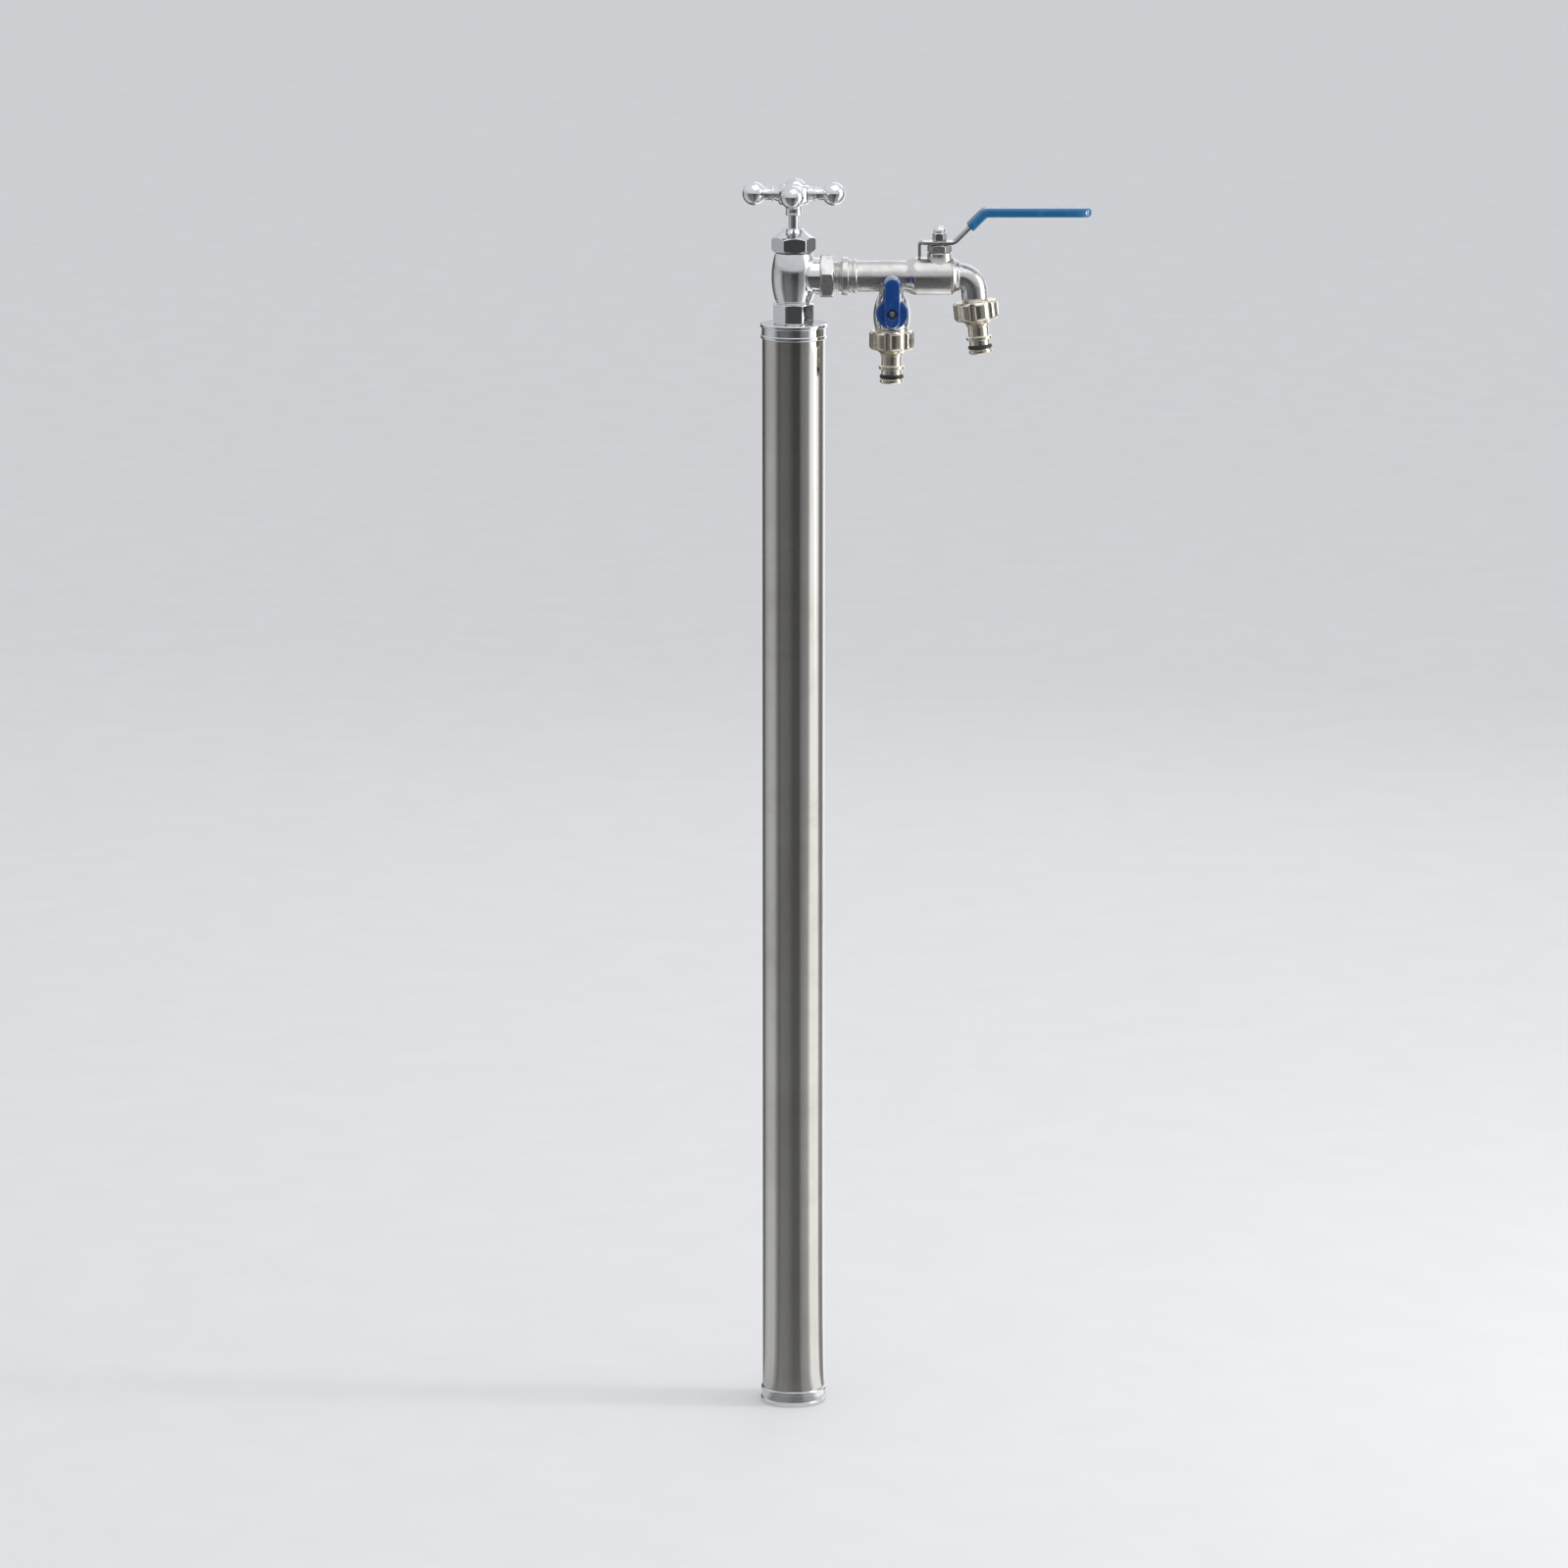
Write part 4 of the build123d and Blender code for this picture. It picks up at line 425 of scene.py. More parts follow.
@dataclass(frozen=True)
class Lobes:
    """Scallops round a turned piece, which leave lobes between them.

    A scallop is a circle outside the rim. Its near side, seen at angle d from its centre, is at
    c cos d - sqrt(r^2 - c^2 sin^2 d), for its centre's distance c and its radius r.
    """

    count: int
    turn: float
    radius: float
    centre: float
    low: float
    high: float
    edge: float = 70.0

    def __call__(self, radius: Array, height: Array, angle: Array) -> Array:
        """Returns the lobed radius of each point."""
        pitch = math.tau / self.count
        offset = (angle - math.radians(self.turn) + pitch / 2) % pitch - pitch / 2
        inside = self.radius**2 - (self.centre * np.sin(offset)) ** 2
        near = self.centre * np.cos(offset) - np.sqrt(np.maximum(inside, 0.0))
        near = np.where(inside > 0, near, self.centre)
        cut = lesser(radius, near, self.edge)
        return np.where((height > self.low) & (height < self.high), cut, radius)


@dataclass(frozen=True)
class Thread:
    """A screw thread cut into a turned piece between two heights.

    The wave is a half times one minus the cosine of height over pitch less angle over a turn.
    The cut is the depth times the wave raised to a power, which widens the groove, and it fades
    in and out over one pitch at each end.
    """

    depth: float
    pitch: float
    low: float
    high: float
    power: float = 0.7

    def __call__(self, radius: Array, height: Array, angle: Array) -> Array:
        """Returns the threaded radius of each point."""
        rising = np.clip((height - self.low) / self.pitch, 0, 1)
        falling = np.clip((self.high - height) / self.pitch, 0, 1)
        wave = 0.5 - 0.5 * np.cos(math.tau * height / self.pitch - angle)
        return radius - self.depth * rising * falling * wave**self.power


def swept(path: Array, section: Array, place: Place, scale: Array | None = None) -> Shell:
    """Carries a section along a path in the place's x-z plane.

    Each point is the path's point, plus the section's first number along the place's y axis,
    plus its second along the path's normal, which is the tangent turned by a right angle.

    Args:
        path: Points (x, z) along the mid line.
        section: Points (across, up) of a closed outline.
        place: Frame that the shell is carried to.
        scale: Width and height of the section at each path point, as shares.

    Returns:
        The closed shell.
    """
    tangent = np.gradient(path, axis=0)
    tangent /= np.linalg.norm(tangent, axis=1)[:, None]
    normal = np.stack([-tangent[:, 1], tangent[:, 0]], axis=1)
    size = np.ones((len(path), 2)) if scale is None else scale
    across = section[None, :, 0] * size[:, :1]
    up = section[None, :, 1] * size[:, 1:]
    grid = np.stack([
        path[:, :1] + normal[:, :1] * up,
        across,
        path[:, 1:] + normal[:, 1:] * up,
    ], axis=-1)
    ends = tuple(place.carry(grid[k].mean(axis=0)) for k in (0, -1))
    return skin(place.carry(grid), ends)


def at_heights(places: Array, heights: Array) -> Array:
    """Lifts flat places, shaped rows, columns, 2, so that each row has its own height."""
    level = np.broadcast_to(heights[:, None, None], (*places.shape[:2], 1))
    return np.concatenate([places, level], axis=2)


def round_end(left: Array, radius: float) -> Array:
    """Share of a half size r that is left at a distance d from a round end.

    It is sqrt(r^2 - (r - d)^2) over r where d is less than r, and 1 beyond.
    """
    inwards = np.clip(radius - left, 0, None)
    return np.sqrt(np.clip(radius**2 - inwards**2, 0, None)) / radius


def rounded_rectangle(width: float, height: float, corner: float) -> Array:
    """Returns a closed outline (across, up) of a rectangle with softened corners."""
    half = np.array([[1, 1], [-1, 1], [-1, -1], [1, -1]]) * np.array([width, height]) / 2
    return looped(softened(half, np.full(4, corner), closed=True, steps=7), 1.0)


# Finishes


class Nodes:
    """Short calls on one node tree."""

    def __init__(self, tree: bpy.types.NodeTree) -> None:
        """Keeps the tree and clears it."""
        self.tree = tree
        tree.nodes.clear()

    def add(self, kind: str, inputs: dict | None = None, **settings: object) -> bpy.types.Node:
        """Adds a node.

        Args:
            kind: The node's type.
            inputs: Value or output socket for each named or numbered input.
            settings: Properties of the node.

        Returns:
            The new node.
        """
        node = self.tree.nodes.new(kind)
        for name, value in settings.items():
            setattr(node, name, value)
        for key, value in (inputs or {}).items():
            if isinstance(value, Socket):
                self.tree.links.new(value, node.inputs[key])
            else:
                node.inputs[key].default_value = value
        return node

    def maths(self, operation: str, *values: object) -> Socket:
        """Adds a Math node and returns its result."""
        return self.add("ShaderNodeMath", dict(enumerate(values)), operation=operation).outputs[0]

    def here(self) -> Socket:
        """Returns the Object coordinates."""
        return self.add("ShaderNodeTexCoord").outputs["Object"]

    def noise(self, vector: object, scale: object, detail: float, rough: float = 0.5,
              distortion: float = 0.0) -> Socket:
        """Adds a noise texture and returns its value from 0 to 1."""
        inputs = {"Vector": vector, "Scale": scale, "Detail": detail, "Roughness": rough}
        return self.add("ShaderNodeTexNoise", {**inputs, "Distortion": distortion}).outputs[0]

    def stretched(self, vector: object, factors: object) -> Socket:
        """Returns a vector multiplied by factors, one for each axis."""
        return self.add("ShaderNodeVectorMath", {0: vector, 1: factors}, operation="MULTIPLY").outputs[0]

    def shared(self, group: bpy.types.NodeTree, **values: object) -> Socket:
        """Places a shared effect with values of its own, and returns what it puts out."""
        return self.add("ShaderNodeGroup", values, node_tree=group).outputs[0]

    def between(self, share: Socket, ends: Pair) -> Socket:
        """Returns the value that lies at a share of the way from the first end to the second."""
        return self.maths("MULTIPLY_ADD", share, ends[1] - ends[0], ends[0])

    def surface(self, shader: bpy.types.Node, colour: Socket, rough: Socket, height: Socket) -> None:
        """Feeds a shader its colour, its roughness and a normal.

        Args:
            shader: The Principled shader.
            colour: The colour.
            rough: The roughness.
            height: Height of the surface in millimetres, which a bump turns into the normal.
        """
        bump = self.add("ShaderNodeBump", {"Height": height, "Strength": 1.0, "Distance": MM})
        self.tree.links.new(colour, shader.inputs["Base Color"])
        self.tree.links.new(rough, shader.inputs["Roughness"])
        self.tree.links.new(bump.outputs[0], shader.inputs["Normal"])

    def ramp(self, value: object, low: float, high: float, start: float = 0.0,
             end: float = 1.0) -> Socket:
        """Maps values from low..high to start..end, smoothly and clamped, and returns the result."""
        inputs = {"Value": value, "From Min": low, "From Max": high, "To Min": start, "To Max": end}
        node = self.add("ShaderNodeMapRange", inputs, interpolation_type="SMOOTHSTEP")
        return node.outputs["Result"]

    def blend(self, share: Socket, one: Colour, other: Colour) -> Socket:
        """Mixes two colours by a share. A Mix node has them at sockets 6 and 7, and its result at 2."""
        inputs = {0: share, 6: (*one, 1.0), 7: (*other, 1.0)}
        return self.add("ShaderNodeMix", inputs, data_type="RGBA").outputs[2]


def effect(name: str, key: str, value: float | Triple, result: str,
           body: Callable[[Nodes, Socket], Socket]) -> bpy.types.NodeTree:
    """Builds a shared effect as a shader node group with one input and one output.

    Args:
        name: The group's name.
        key: The input's name.
        value: The input's starting value, a number or a vector.
        result: The output's name.
        body: Adds the nodes, given the tree's calls and its input, and returns what comes out.

    Returns:
        The group's tree.
    """
    tree = bpy.data.node_groups.new(name, "ShaderNodeTree")
    kind = "NodeSocketVector" if isinstance(value, tuple) else "NodeSocketFloat"
    tree.interface.new_socket(key, in_out="INPUT", socket_type=kind).default_value = value
    tree.interface.new_socket(result, in_out="OUTPUT", socket_type="NodeSocketFloat")
    nodes = Nodes(tree)
    entry = nodes.add("NodeGroupInput")
    nodes.add("NodeGroupOutput", {result: body(nodes, entry.outputs[key])})
    return tree


class Effects:
    """The effects that several finishes share, each built once."""

    def __init__(self) -> None:
        """Builds every group."""
        self.polish = effect("polish_marks", "Grain", (300.0, 300.0, 300.0), "Height", self._polish)
        self.smudges = effect("smudges", "Scale", 40.0, "Mask", self._smudges)
        self.spots = effect("water_spots", "Scale", 160.0, "Mask", self._spots)
        self.skin = effect("cast_skin", "Scale", 300.0, "Height", self._skin)
        self.wear_and_highlight = effect("edge_wear_and_highlight", "Scale", 250.0, "Mask", self._wear_and_highlight)

    @staticmethod
    def _polish(nodes: Nodes, grain: Socket) -> Socket:
        """Fine lines: two noises stretched by the grain, one of them finer."""
        along = nodes.stretched(nodes.here(), grain)
        coarse = nodes.noise(along, 1.0, 4.0, 0.6)
        fine = nodes.noise(along, 3.7, 2.0, 0.5)
        weighed = nodes.maths("MULTIPLY", coarse, 0.6)
        return nodes.maths("MULTIPLY_ADD", fine, 0.4, weighed)

    @staticmethod
    def _smudges(nodes: Nodes, scale: Socket) -> Socket:
        """Soft patches where the surface was touched or has dried."""
        patches = nodes.noise(nodes.here(), scale, 5.0, 0.62, distortion=0.8)
        return nodes.ramp(patches, 0.42, 0.68)

    @staticmethod
    def _spots(nodes: Nodes, scale: Socket) -> Socket:
        """Dried drops: thin rings round some cells' centres."""
        here = nodes.here()
        cells = nodes.add("ShaderNodeTexVoronoi", {"Vector": here, "Scale": scale})
        outer = nodes.ramp(cells.outputs["Distance"], 0.16, 0.24, 1.0, 0.0)
        inner = nodes.ramp(cells.outputs["Distance"], 0.10, 0.18, 0.75, 0.0)
        drop = nodes.maths("SUBTRACT", outer, inner)
        chance = nodes.ramp(nodes.noise(here, 23.0, 2.0), 0.55, 0.62)
        return nodes.maths("MULTIPLY", drop, chance)

    @staticmethod
    def _skin(nodes: Nodes, scale: Socket) -> Socket:
        """Slight waves of a cast, moulded or polished surface, with a finer ripple on them."""
        return nodes.noise(nodes.here(), scale, 2.0, 0.45)

    @staticmethod
    def _wear_and_highlight(nodes: Nodes, scale: Socket) -> Socket:
        """Worn places on outer edges, where the surface is most pointed, broken up by noise. On the blue
        wing, whose tint is lighter, these edges also serve as a painted highlight.
        """
        pointed = nodes.add("ShaderNodeNewGeometry").outputs["Pointiness"]
        edge = nodes.ramp(pointed, 0.53, 0.62)
        patches = nodes.ramp(nodes.noise(nodes.here(), scale, 3.0), 0.35, 0.65)
        return nodes.maths("MULTIPLY", edge, patches)


@dataclass(frozen=True)
class Metal:
    """A plated, polished or brushed metal.

    The colour leans to tint in the smudges and on worn edges, and the roughness goes from the
    first to the second value there. Height comes from polish lines and the cast skin. A brushed
    one draws its highlights out by anisotropy, turned by a share of a full turn.
    """

    slot: Slot
    colour: Colour
    tint: Colour
    roughness: Pair
    grain: Triple = (260.0, 260.0, 260.0)
    line_depth: float = 0.004
    wave_scale: float = 110.0
    wave_depth: float = 0.03
    smudge_scale: float = 38.0
    spots: float = 0.15
    wear_share: float = 0.7
    line_share: float = 0.35
    anisotropy: float = 0.0
    grain_turn: float = 0.0

    def build(self, effects: Effects) -> bpy.types.Material:
        """Returns the finished material."""
        material, nodes, shader = blank(self.slot.value)
        smudges = nodes.shared(effects.smudges, Scale=self.smudge_scale)
        polish = nodes.shared(effects.polish, Grain=self.grain)
        waves = nodes.shared(effects.skin, Scale=self.wave_scale)
        worn = nodes.maths("MULTIPLY", nodes.shared(effects.wear_and_highlight), self.wear_share)
        marks = nodes.maths("MULTIPLY", nodes.shared(effects.spots), self.spots)
        dull = nodes.maths("ADD", nodes.maths("MAXIMUM", smudges, worn), marks)
        dull = nodes.maths("MINIMUM", dull, 1.0)
        lines = nodes.ramp(polish, 0.3, 0.7)
        faded = nodes.maths("MULTIPLY", dull, 1.0 - self.line_share)
        share = nodes.maths("MULTIPLY_ADD", lines, self.line_share, faded)
        cut = nodes.maths("MULTIPLY", polish, self.line_depth)
        height = nodes.maths("MULTIPLY_ADD", waves, self.wave_depth, cut)
        shader.inputs["Metallic"].default_value = 1.0
        shader.inputs["Anisotropic"].default_value = self.anisotropy
        shader.inputs["Anisotropic Rotation"].default_value = self.grain_turn
        colour = nodes.blend(share, self.colour, self.tint)
        nodes.surface(shader, colour, nodes.between(dull, self.roughness), height)
        return material


@dataclass(frozen=True)
class Moulded:
    """A moulded plastic, dipped vinyl or rubber, with a fine skin and dust-dulled patches."""

    slot: Slot
    colour: Colour
    tint: Colour
    roughness: Pair
    stipple_scale: float = 1800.0
    stipple_depth: float = 0.006
    wave_scale: float = 160.0
    wave_depth: float = 0.02
    smudge_scale: float = 60.0
    smudge_share: float = 0.5
    coat: float = 0.0
    coat_roughness: float = 0.12

    def build(self, effects: Effects) -> bpy.types.Material:
        """Returns the finished material."""
        material, nodes, shader = blank(self.slot.value)
        smudges = nodes.shared(effects.smudges, Scale=self.smudge_scale)
        stipple = nodes.shared(effects.skin, Scale=self.stipple_scale)
        waves = nodes.shared(effects.skin, Scale=self.wave_scale)
        dusty = nodes.maths("MULTIPLY", smudges, self.smudge_share)
        share = nodes.maths("MAXIMUM", dusty, nodes.shared(effects.wear_and_highlight))
        raised = nodes.maths("MULTIPLY", waves, self.wave_depth)
        height = nodes.maths("MULTIPLY_ADD", stipple, self.stipple_depth, raised)
        shader.inputs["Coat Weight"].default_value = self.coat
        shader.inputs["Coat Roughness"].default_value = self.coat_roughness
        colour = nodes.blend(share, self.colour, self.tint)
        nodes.surface(shader, colour, nodes.between(smudges, self.roughness), height)
        return material


def blank(name: str) -> tuple[bpy.types.Material, Nodes, bpy.types.Node]:
    """Makes a material with a Principled shader on its output.

    Args:
        name: The material's name.

    Returns:
        The material, the calls on its tree and the shader.
    """
    material = bpy.data.materials.new(name)
    material.use_nodes = True
    nodes = Nodes(material.node_tree)
    shader = nodes.add("ShaderNodeBsdfPrincipled")
    nodes.add("ShaderNodeOutputMaterial", {"Surface": shader.outputs[0]})
    return material, nodes, shader


FINISHES: tuple[Metal | Moulded, ...] = (
    Metal(Slot.POLISHED_STEEL, (0.66, 0.645, 0.61), (0.52, 0.50, 0.46), (0.085, 0.15),
          grain=(900.0, 900.0, 3.0), line_depth=0.003, wave_scale=9.0, wave_depth=0.08, smudge_scale=9.0,
          anisotropy=0.6, grain_turn=0.25),
    Metal(Slot.CHROME, (0.80, 0.81, 0.82), (0.68, 0.69, 0.70), (0.035, 0.10), wave_depth=0.03),
    Metal(Slot.SATIN_NICKEL, (0.70, 0.69, 0.68), (0.56, 0.55, 0.52), (0.20, 0.32),
          line_depth=0.008, wave_scale=70.0, wave_depth=0.014),
    Metal(Slot.WARM_NICKEL, (0.84, 0.79, 0.69), (0.70, 0.63, 0.50), (0.12, 0.24)),
    Metal(Slot.BRASS, (0.72, 0.55, 0.28), (0.52, 0.38, 0.18), (0.22, 0.36)),
    Metal(Slot.PLAIN_STEEL, (0.58, 0.58, 0.57), (0.42, 0.42, 0.41), (0.24, 0.38),
          grain=(60.0, 900.0, 900.0), line_depth=0.010),
    Moulded(Slot.RUBBER, (0.014, 0.014, 0.015), (0.045, 0.044, 0.042), (0.42, 0.62)),
    Moulded(Slot.SEAT_PLASTIC, (0.82, 0.82, 0.79), (0.66, 0.65, 0.60), (0.45, 0.6)),
    Moulded(Slot.BLUE_SLEEVE, (0.005, 0.125, 0.30), (0.02, 0.19, 0.38), (0.24, 0.38), coat=0.5),
    # The wing's lighter tint shows on dust and on worn edges; on the edges it also stands in as a painted
    # highlight.
    Moulded(Slot.BLUE_WING, (0.005, 0.050, 0.225), (0.025, 0.10, 0.29), (0.14, 0.26), coat=1.0),
)


def mesh_of(name: str, shells: list[Shell]) -> bpy.types.Mesh:
    """Writes closed surfaces in millimetres into one smooth mesh in metres.

    Args:
        name: The mesh's name.
        shells: Its closed surfaces.

    Returns:
        The mesh.
    """
    offsets = np.cumsum([0] + [len(s.points) for s in shells[:-1]])
    points = np.concatenate([s.points for s in shells]) * MM
    quads = np.concatenate([s.quads + k for s, k in zip(shells, offsets)])
    triangles = np.concatenate([s.triangles + k for s, k in zip(shells, offsets)])
    loops = np.concatenate([quads.ravel(), triangles.ravel()])
    totals = np.concatenate([np.full(len(quads), 4), np.full(len(triangles), 3)])
    starts = np.concatenate([[0], np.cumsum(totals)[:-1]])
    mesh = bpy.data.meshes.new(name)
    mesh.vertices.add(len(points))
    mesh.vertices.foreach_set("co", points.astype(np.float32).ravel())
    mesh.loops.add(len(loops))
    mesh.loops.foreach_set("vertex_index", loops.astype(np.int32))
    mesh.polygons.add(len(totals))
    mesh.polygons.foreach_set("loop_start", starts.astype(np.int32))
    mesh.polygons.foreach_set("loop_total", totals.astype(np.int32))
    mesh.update(calc_edges=True)
    mesh.validate()
    mesh.shade_smooth()
    return mesh


# How strongly large faces set the normals, where 50 is neutral.
AREA_WEIGHT = 60


class Workshop:
    """Makes finished objects from shells, and dresses the nodes that stay as they are."""

    def __init__(self) -> None:
        """Builds the effects and one material for each slot."""
        effects = Effects()
        self.materials = {finish.slot: finish.build(effects) for finish in FINISHES}
        self.slots = {
            part["node"]: Slot(part["material_slot"]) for part in frame["record"]["subparts"]
        }

    def make(self, node: str, *shells: Shell, weighted: bool = True) -> None:
        """Makes the piece that stands for a node, in that node's finish and on its body.

        Args:
            node: The node that the piece stands for.
            shells: Its closed surfaces, in millimetres.
            weighted: Whether a modifier weighs the normals by face area.
        """
        mesh = mesh_of(f"{node}_skin", list(shells))
        piece = bpy.data.objects.new(f"{node}_skin", mesh)
        bpy.context.scene.collection.objects.link(piece)
        slot = self.slots[node]
        mesh.materials.append(self.materials[slot])
        if weighted:
            weigh = piece.modifiers.new("weigh_normals", "WEIGHTED_NORMAL")
            weigh.weight = AREA_WEIGHT
        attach(piece, frame["nodes"][node]["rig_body"])
        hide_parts(node)
        LOG.info("%s: %d points, %d faces", piece.name, len(mesh.vertices), len(mesh.polygons))

    def dress(self) -> None:
        """Gives every node that is still shown the material of its slot."""
        for name, thing in frame["nodes"].items():
            if thing.hide_render:
                continue
            material = self.materials[self.slots[name]]
            if not thing.material_slots:
                thing.data.materials.append(material)
            for slot in thing.material_slots:
                slot.link = "OBJECT"
                slot.material = material
            LOG.info("%s: dressed in %s", name, material.name)


# The standpipe

# The post stands from 0 to POST_TOP on the z axis.
UPRIGHT = Place()
POST_TOP = 884.2
# The manifold leaves the stop valve's side boss, which ends at BOSS_END along the arm.
ARM_AXIS_Z = 921.6
ALONG_ARM = Place((0.0, 0.0, ARM_AXIS_Z), (0.0, 0.0, -1.0), (1.0, 0.0, 0.0))
BOSS_END = 21.0
# Each ball valve's frame has its z axis along the stem and its origin in the ball.
END_STEM = Place((115.4, 0.0, ARM_AXIS_Z))
FRONT_X, FRONT_Y, FRONT_Z = 77.7, -4.0, 895.7
FRONT_UPRIGHT = Place((FRONT_X, FRONT_Y, FRONT_Z))
FRONT_STEM = Place((FRONT_X, FRONT_Y, FRONT_Z), (0.0, 0.0, 1.0), (0.0, -1.0, 0.0))
# Along either stem the gland nut sits at GLAND_FOOT, and the nuts are turned by some degrees.
GLAND_FOOT = 18.9
STEM_NUT_TURN = -4.0


@dataclass(frozen=True)
class Post:
    """Polished tube between two like collars.

    A collar's rim, band and bead are each a radius and a height, and its plug sits in the tube.
    """

    shop: Workshop
    radius: float = 25.0
    wall: float = 1.5
    rim: Pair = (26.65, 3.0)
    band: Pair = (25.5, 6.3)
    bead: Pair = (26.25, 3.0)
    foot_bore: float = 14.6
    top_bore: float = 13.15
    recess: float = 7.0
    mouth: float = 23.6
    web: float = 4.0
    plug_gap: float = 0.05
    plug_wall: float = 3.0
    plug_length: float = 18.0
    columns: int = 192

    def build(self) -> None:
        """Makes the tube and both collars."""
        collar = self.rim[1] + self.band[1] + self.bead[1]
        tube = bored(self.radius - self.wall, self.radius, collar, POST_TOP - collar, 0.3)
        shell = turned(tube, UPRIGHT, self.columns, closed=True, longest=12.0)
        self.shop.make("post_tube", shell, weighted=False)
        upside_down = Place((0.0, 0.0, POST_TOP), (1.0, 0.0, 0.0), (0.0, 0.0, -1.0))
        collars = (
            ("base_collar", UPRIGHT, self.foot_bore, self.recess),
            ("top_collar", upside_down, self.top_bore, 0.0),
        )
        for name, place, bore, recess in collars:
            self.shop.make(name, turned(self.collar(bore, recess), place, self.columns, closed=True))

    def collar(self, bore: float, recess: float) -> Outline:
        """Returns a collar's outline: rim, band, bead and the plug that sits in the tube.

        Args:
            bore: Radius of the hole through its web.
            recess: Depth of the recess in its face.
        """
        rim, rim_top = self.rim
        band, band_height = self.band
        bead, bead_height = self.bead
        band_top = rim_top + band_height
        top = band_top + bead_height
        plug = self.radius - self.wall - self.plug_gap
        plug_end = top + self.plug_length
        hollow = plug - self.plug_wall
        web_top = recess + self.web
        outline = Outline(bore, recess)
        if recess:
            outline.to(self.mouth, recess, 0.5).to(self.mouth, 0.0, 0.4)
        outline.to(rim, 0.0, 0.9).to(rim, rim_top, 0.8).to(band, rim_top, 0.5)
        outline.to(band, band_top, 0.5).to(bead, band_top, 1.0).to(bead, top, 1.2)
        outline.to(plug, top).to(plug, plug_end, 0.5).to(hollow, plug_end)
        return outline.to(hollow, web_top).to(bore, web_top)


@dataclass(frozen=True)
class StopValve:
    """Octagon, waist, bellied barrel with its side boss, the headwork and the stem.

    The barrel's side is an arc from its foot to its top, widest level with the manifold's axis.
    """

    shop: Workshop
    octagon_flats: float = 32.0
    octagon_height: float = 16.0
    waist: float = 13.5
    barrel_foot: float = 902.0
    barrel_top: float = 940.2
    barrel_end: float = 14.6
    barrel_mid: float = 17.6
    boss: float = 14.4
    boss_root: float = 9.6
    boss_blend: float = 2.2
    hexagon_flats: float = 30.8
    hexagon_foot: float = 941.0
    hexagon_top: float = 953.0
    cone_mid: Pair = (10.6, 955.9)
    cone_top: Pair = (7.5, 959.6)
    stem: float = 4.1
    stem_span: Pair = (939.6, 974.0)

    def build(self) -> None:
        """Makes the body, the bonnet and the stem."""
        self.shop.make("valve_body", self.body(), self.side_boss(), self.boss_rounding())
        self.shop.make("bonnet", self.bonnet())
        self.shop.make("spindle", turned(rod(self.stem, *self.stem_span, 0.3, 0.3), UPRIGHT, 64))

    def body(self) -> Shell:
        """Returns the octagon, waist and barrel as one turned shell with flats at its foot."""
        low, high = POST_TOP, POST_TOP + self.octagon_height
        ends = Chamfer(0.05, 0.8, 0.3, 0.3), Chamfer(0.3, 0.9, 0.5, 0.4)
        outline = nut_blank(self.octagon_flats, 8, low, high, *ends)
        outline.to(self.waist, high, 0.9).to(self.waist, self.barrel_foot, 0.8)
        outline.to(self.barrel_end, self.barrel_foot, 0.7)
        outline.arc((self.barrel_mid, ARM_AXIS_Z), (self.barrel_end, self.barrel_top), 0.9, 36)
        outline.to(0.0, self.barrel_top)
        facets = Facets(self.octagon_flats, 8, 22.5, low - 1, high + 0.4, corner=120.0)
        return turned(outline, UPRIGHT, 480, facets, longest=0.7)

    def side_boss(self) -> Shell:
        """Returns the side boss, from inside the barrel's wall to its face."""
        outline = rod(self.boss, self.boss_root, BOSS_END, 0.0, 0.6)
        return turned(outline, ALONG_ARM, 192, longest=0.7)

    def barrel_radius(self, rise: Array) -> Array:
        """Returns the barrel's radius at a rise over the manifold's axis, from its arc's circle."""
        foot = np.array([self.barrel_end, self.barrel_foot])
        middle = np.array([self.barrel_mid, ARM_AXIS_Z])
        top = np.array([self.barrel_end, self.barrel_top])
        centre, radius = circle_through(foot, middle, top)
        return centre[0] + np.sqrt(radius**2 - (ARM_AXIS_Z + rise - centre[1]) ** 2)

    def boss_rounding(self) -> Shell:
        """Returns the rounding between the barrel and its side boss.

        For each direction round the boss, a parabola leaves the boss's side and joins the
        barrel. Its corner is where the two would meet, and its ends are one blend away from
        it, outwards along the boss and away from the boss's axis along the barrel. At a reach
        from that axis the barrel is sqrt(radius^2 - y^2) out. Past both ends the section runs
        on a little way, just under the surface, and then closes inside.
        """
        turn = np.linspace(0.0, math.tau, 192, endpoint=False)
        around = np.stack([np.cos(turn), np.sin(turn)], axis=1)
        outwards = np.array([1.0, 0.0, 0.0])
        past_boss, past_barrel = 0.6, 0.4
        under_boss = np.array([1.0, 0.996, 0.996])
        under_barrel = np.array([0.994, 0.994, 1.0])
        well_inside = np.array([0.8, 0.85, 0.85])

        def on_barrel(reach: float) -> Array:
            """Points on the barrel at a reach from the boss's axis, in every direction."""
            across = reach * around
            out = np.sqrt(self.barrel_radius(across[:, 1]) ** 2 - across[:, 0] ** 2)
            return np.concatenate([out[:, None], across], axis=1)

        corner = on_barrel(self.boss)
        start = corner + self.boss_blend * outwards
        end = on_barrel(self.boss + self.boss_blend)
        s = np.linspace(0.0, 1.0, 13)[:, None, None]
        curve = (1 - s) ** 2 * start + 2 * s * (1 - s) * corner + s**2 * end
        outer = (start + past_boss * outwards) * under_boss
        inner = on_barrel(self.boss + self.boss_blend + past_barrel) * under_barrel
        grid = np.concatenate([outer[None], curve, inner[None], (corner * well_inside)[None]])
        return skin(grid + np.array([0.0, 0.0, ARM_AXIS_Z]), None)

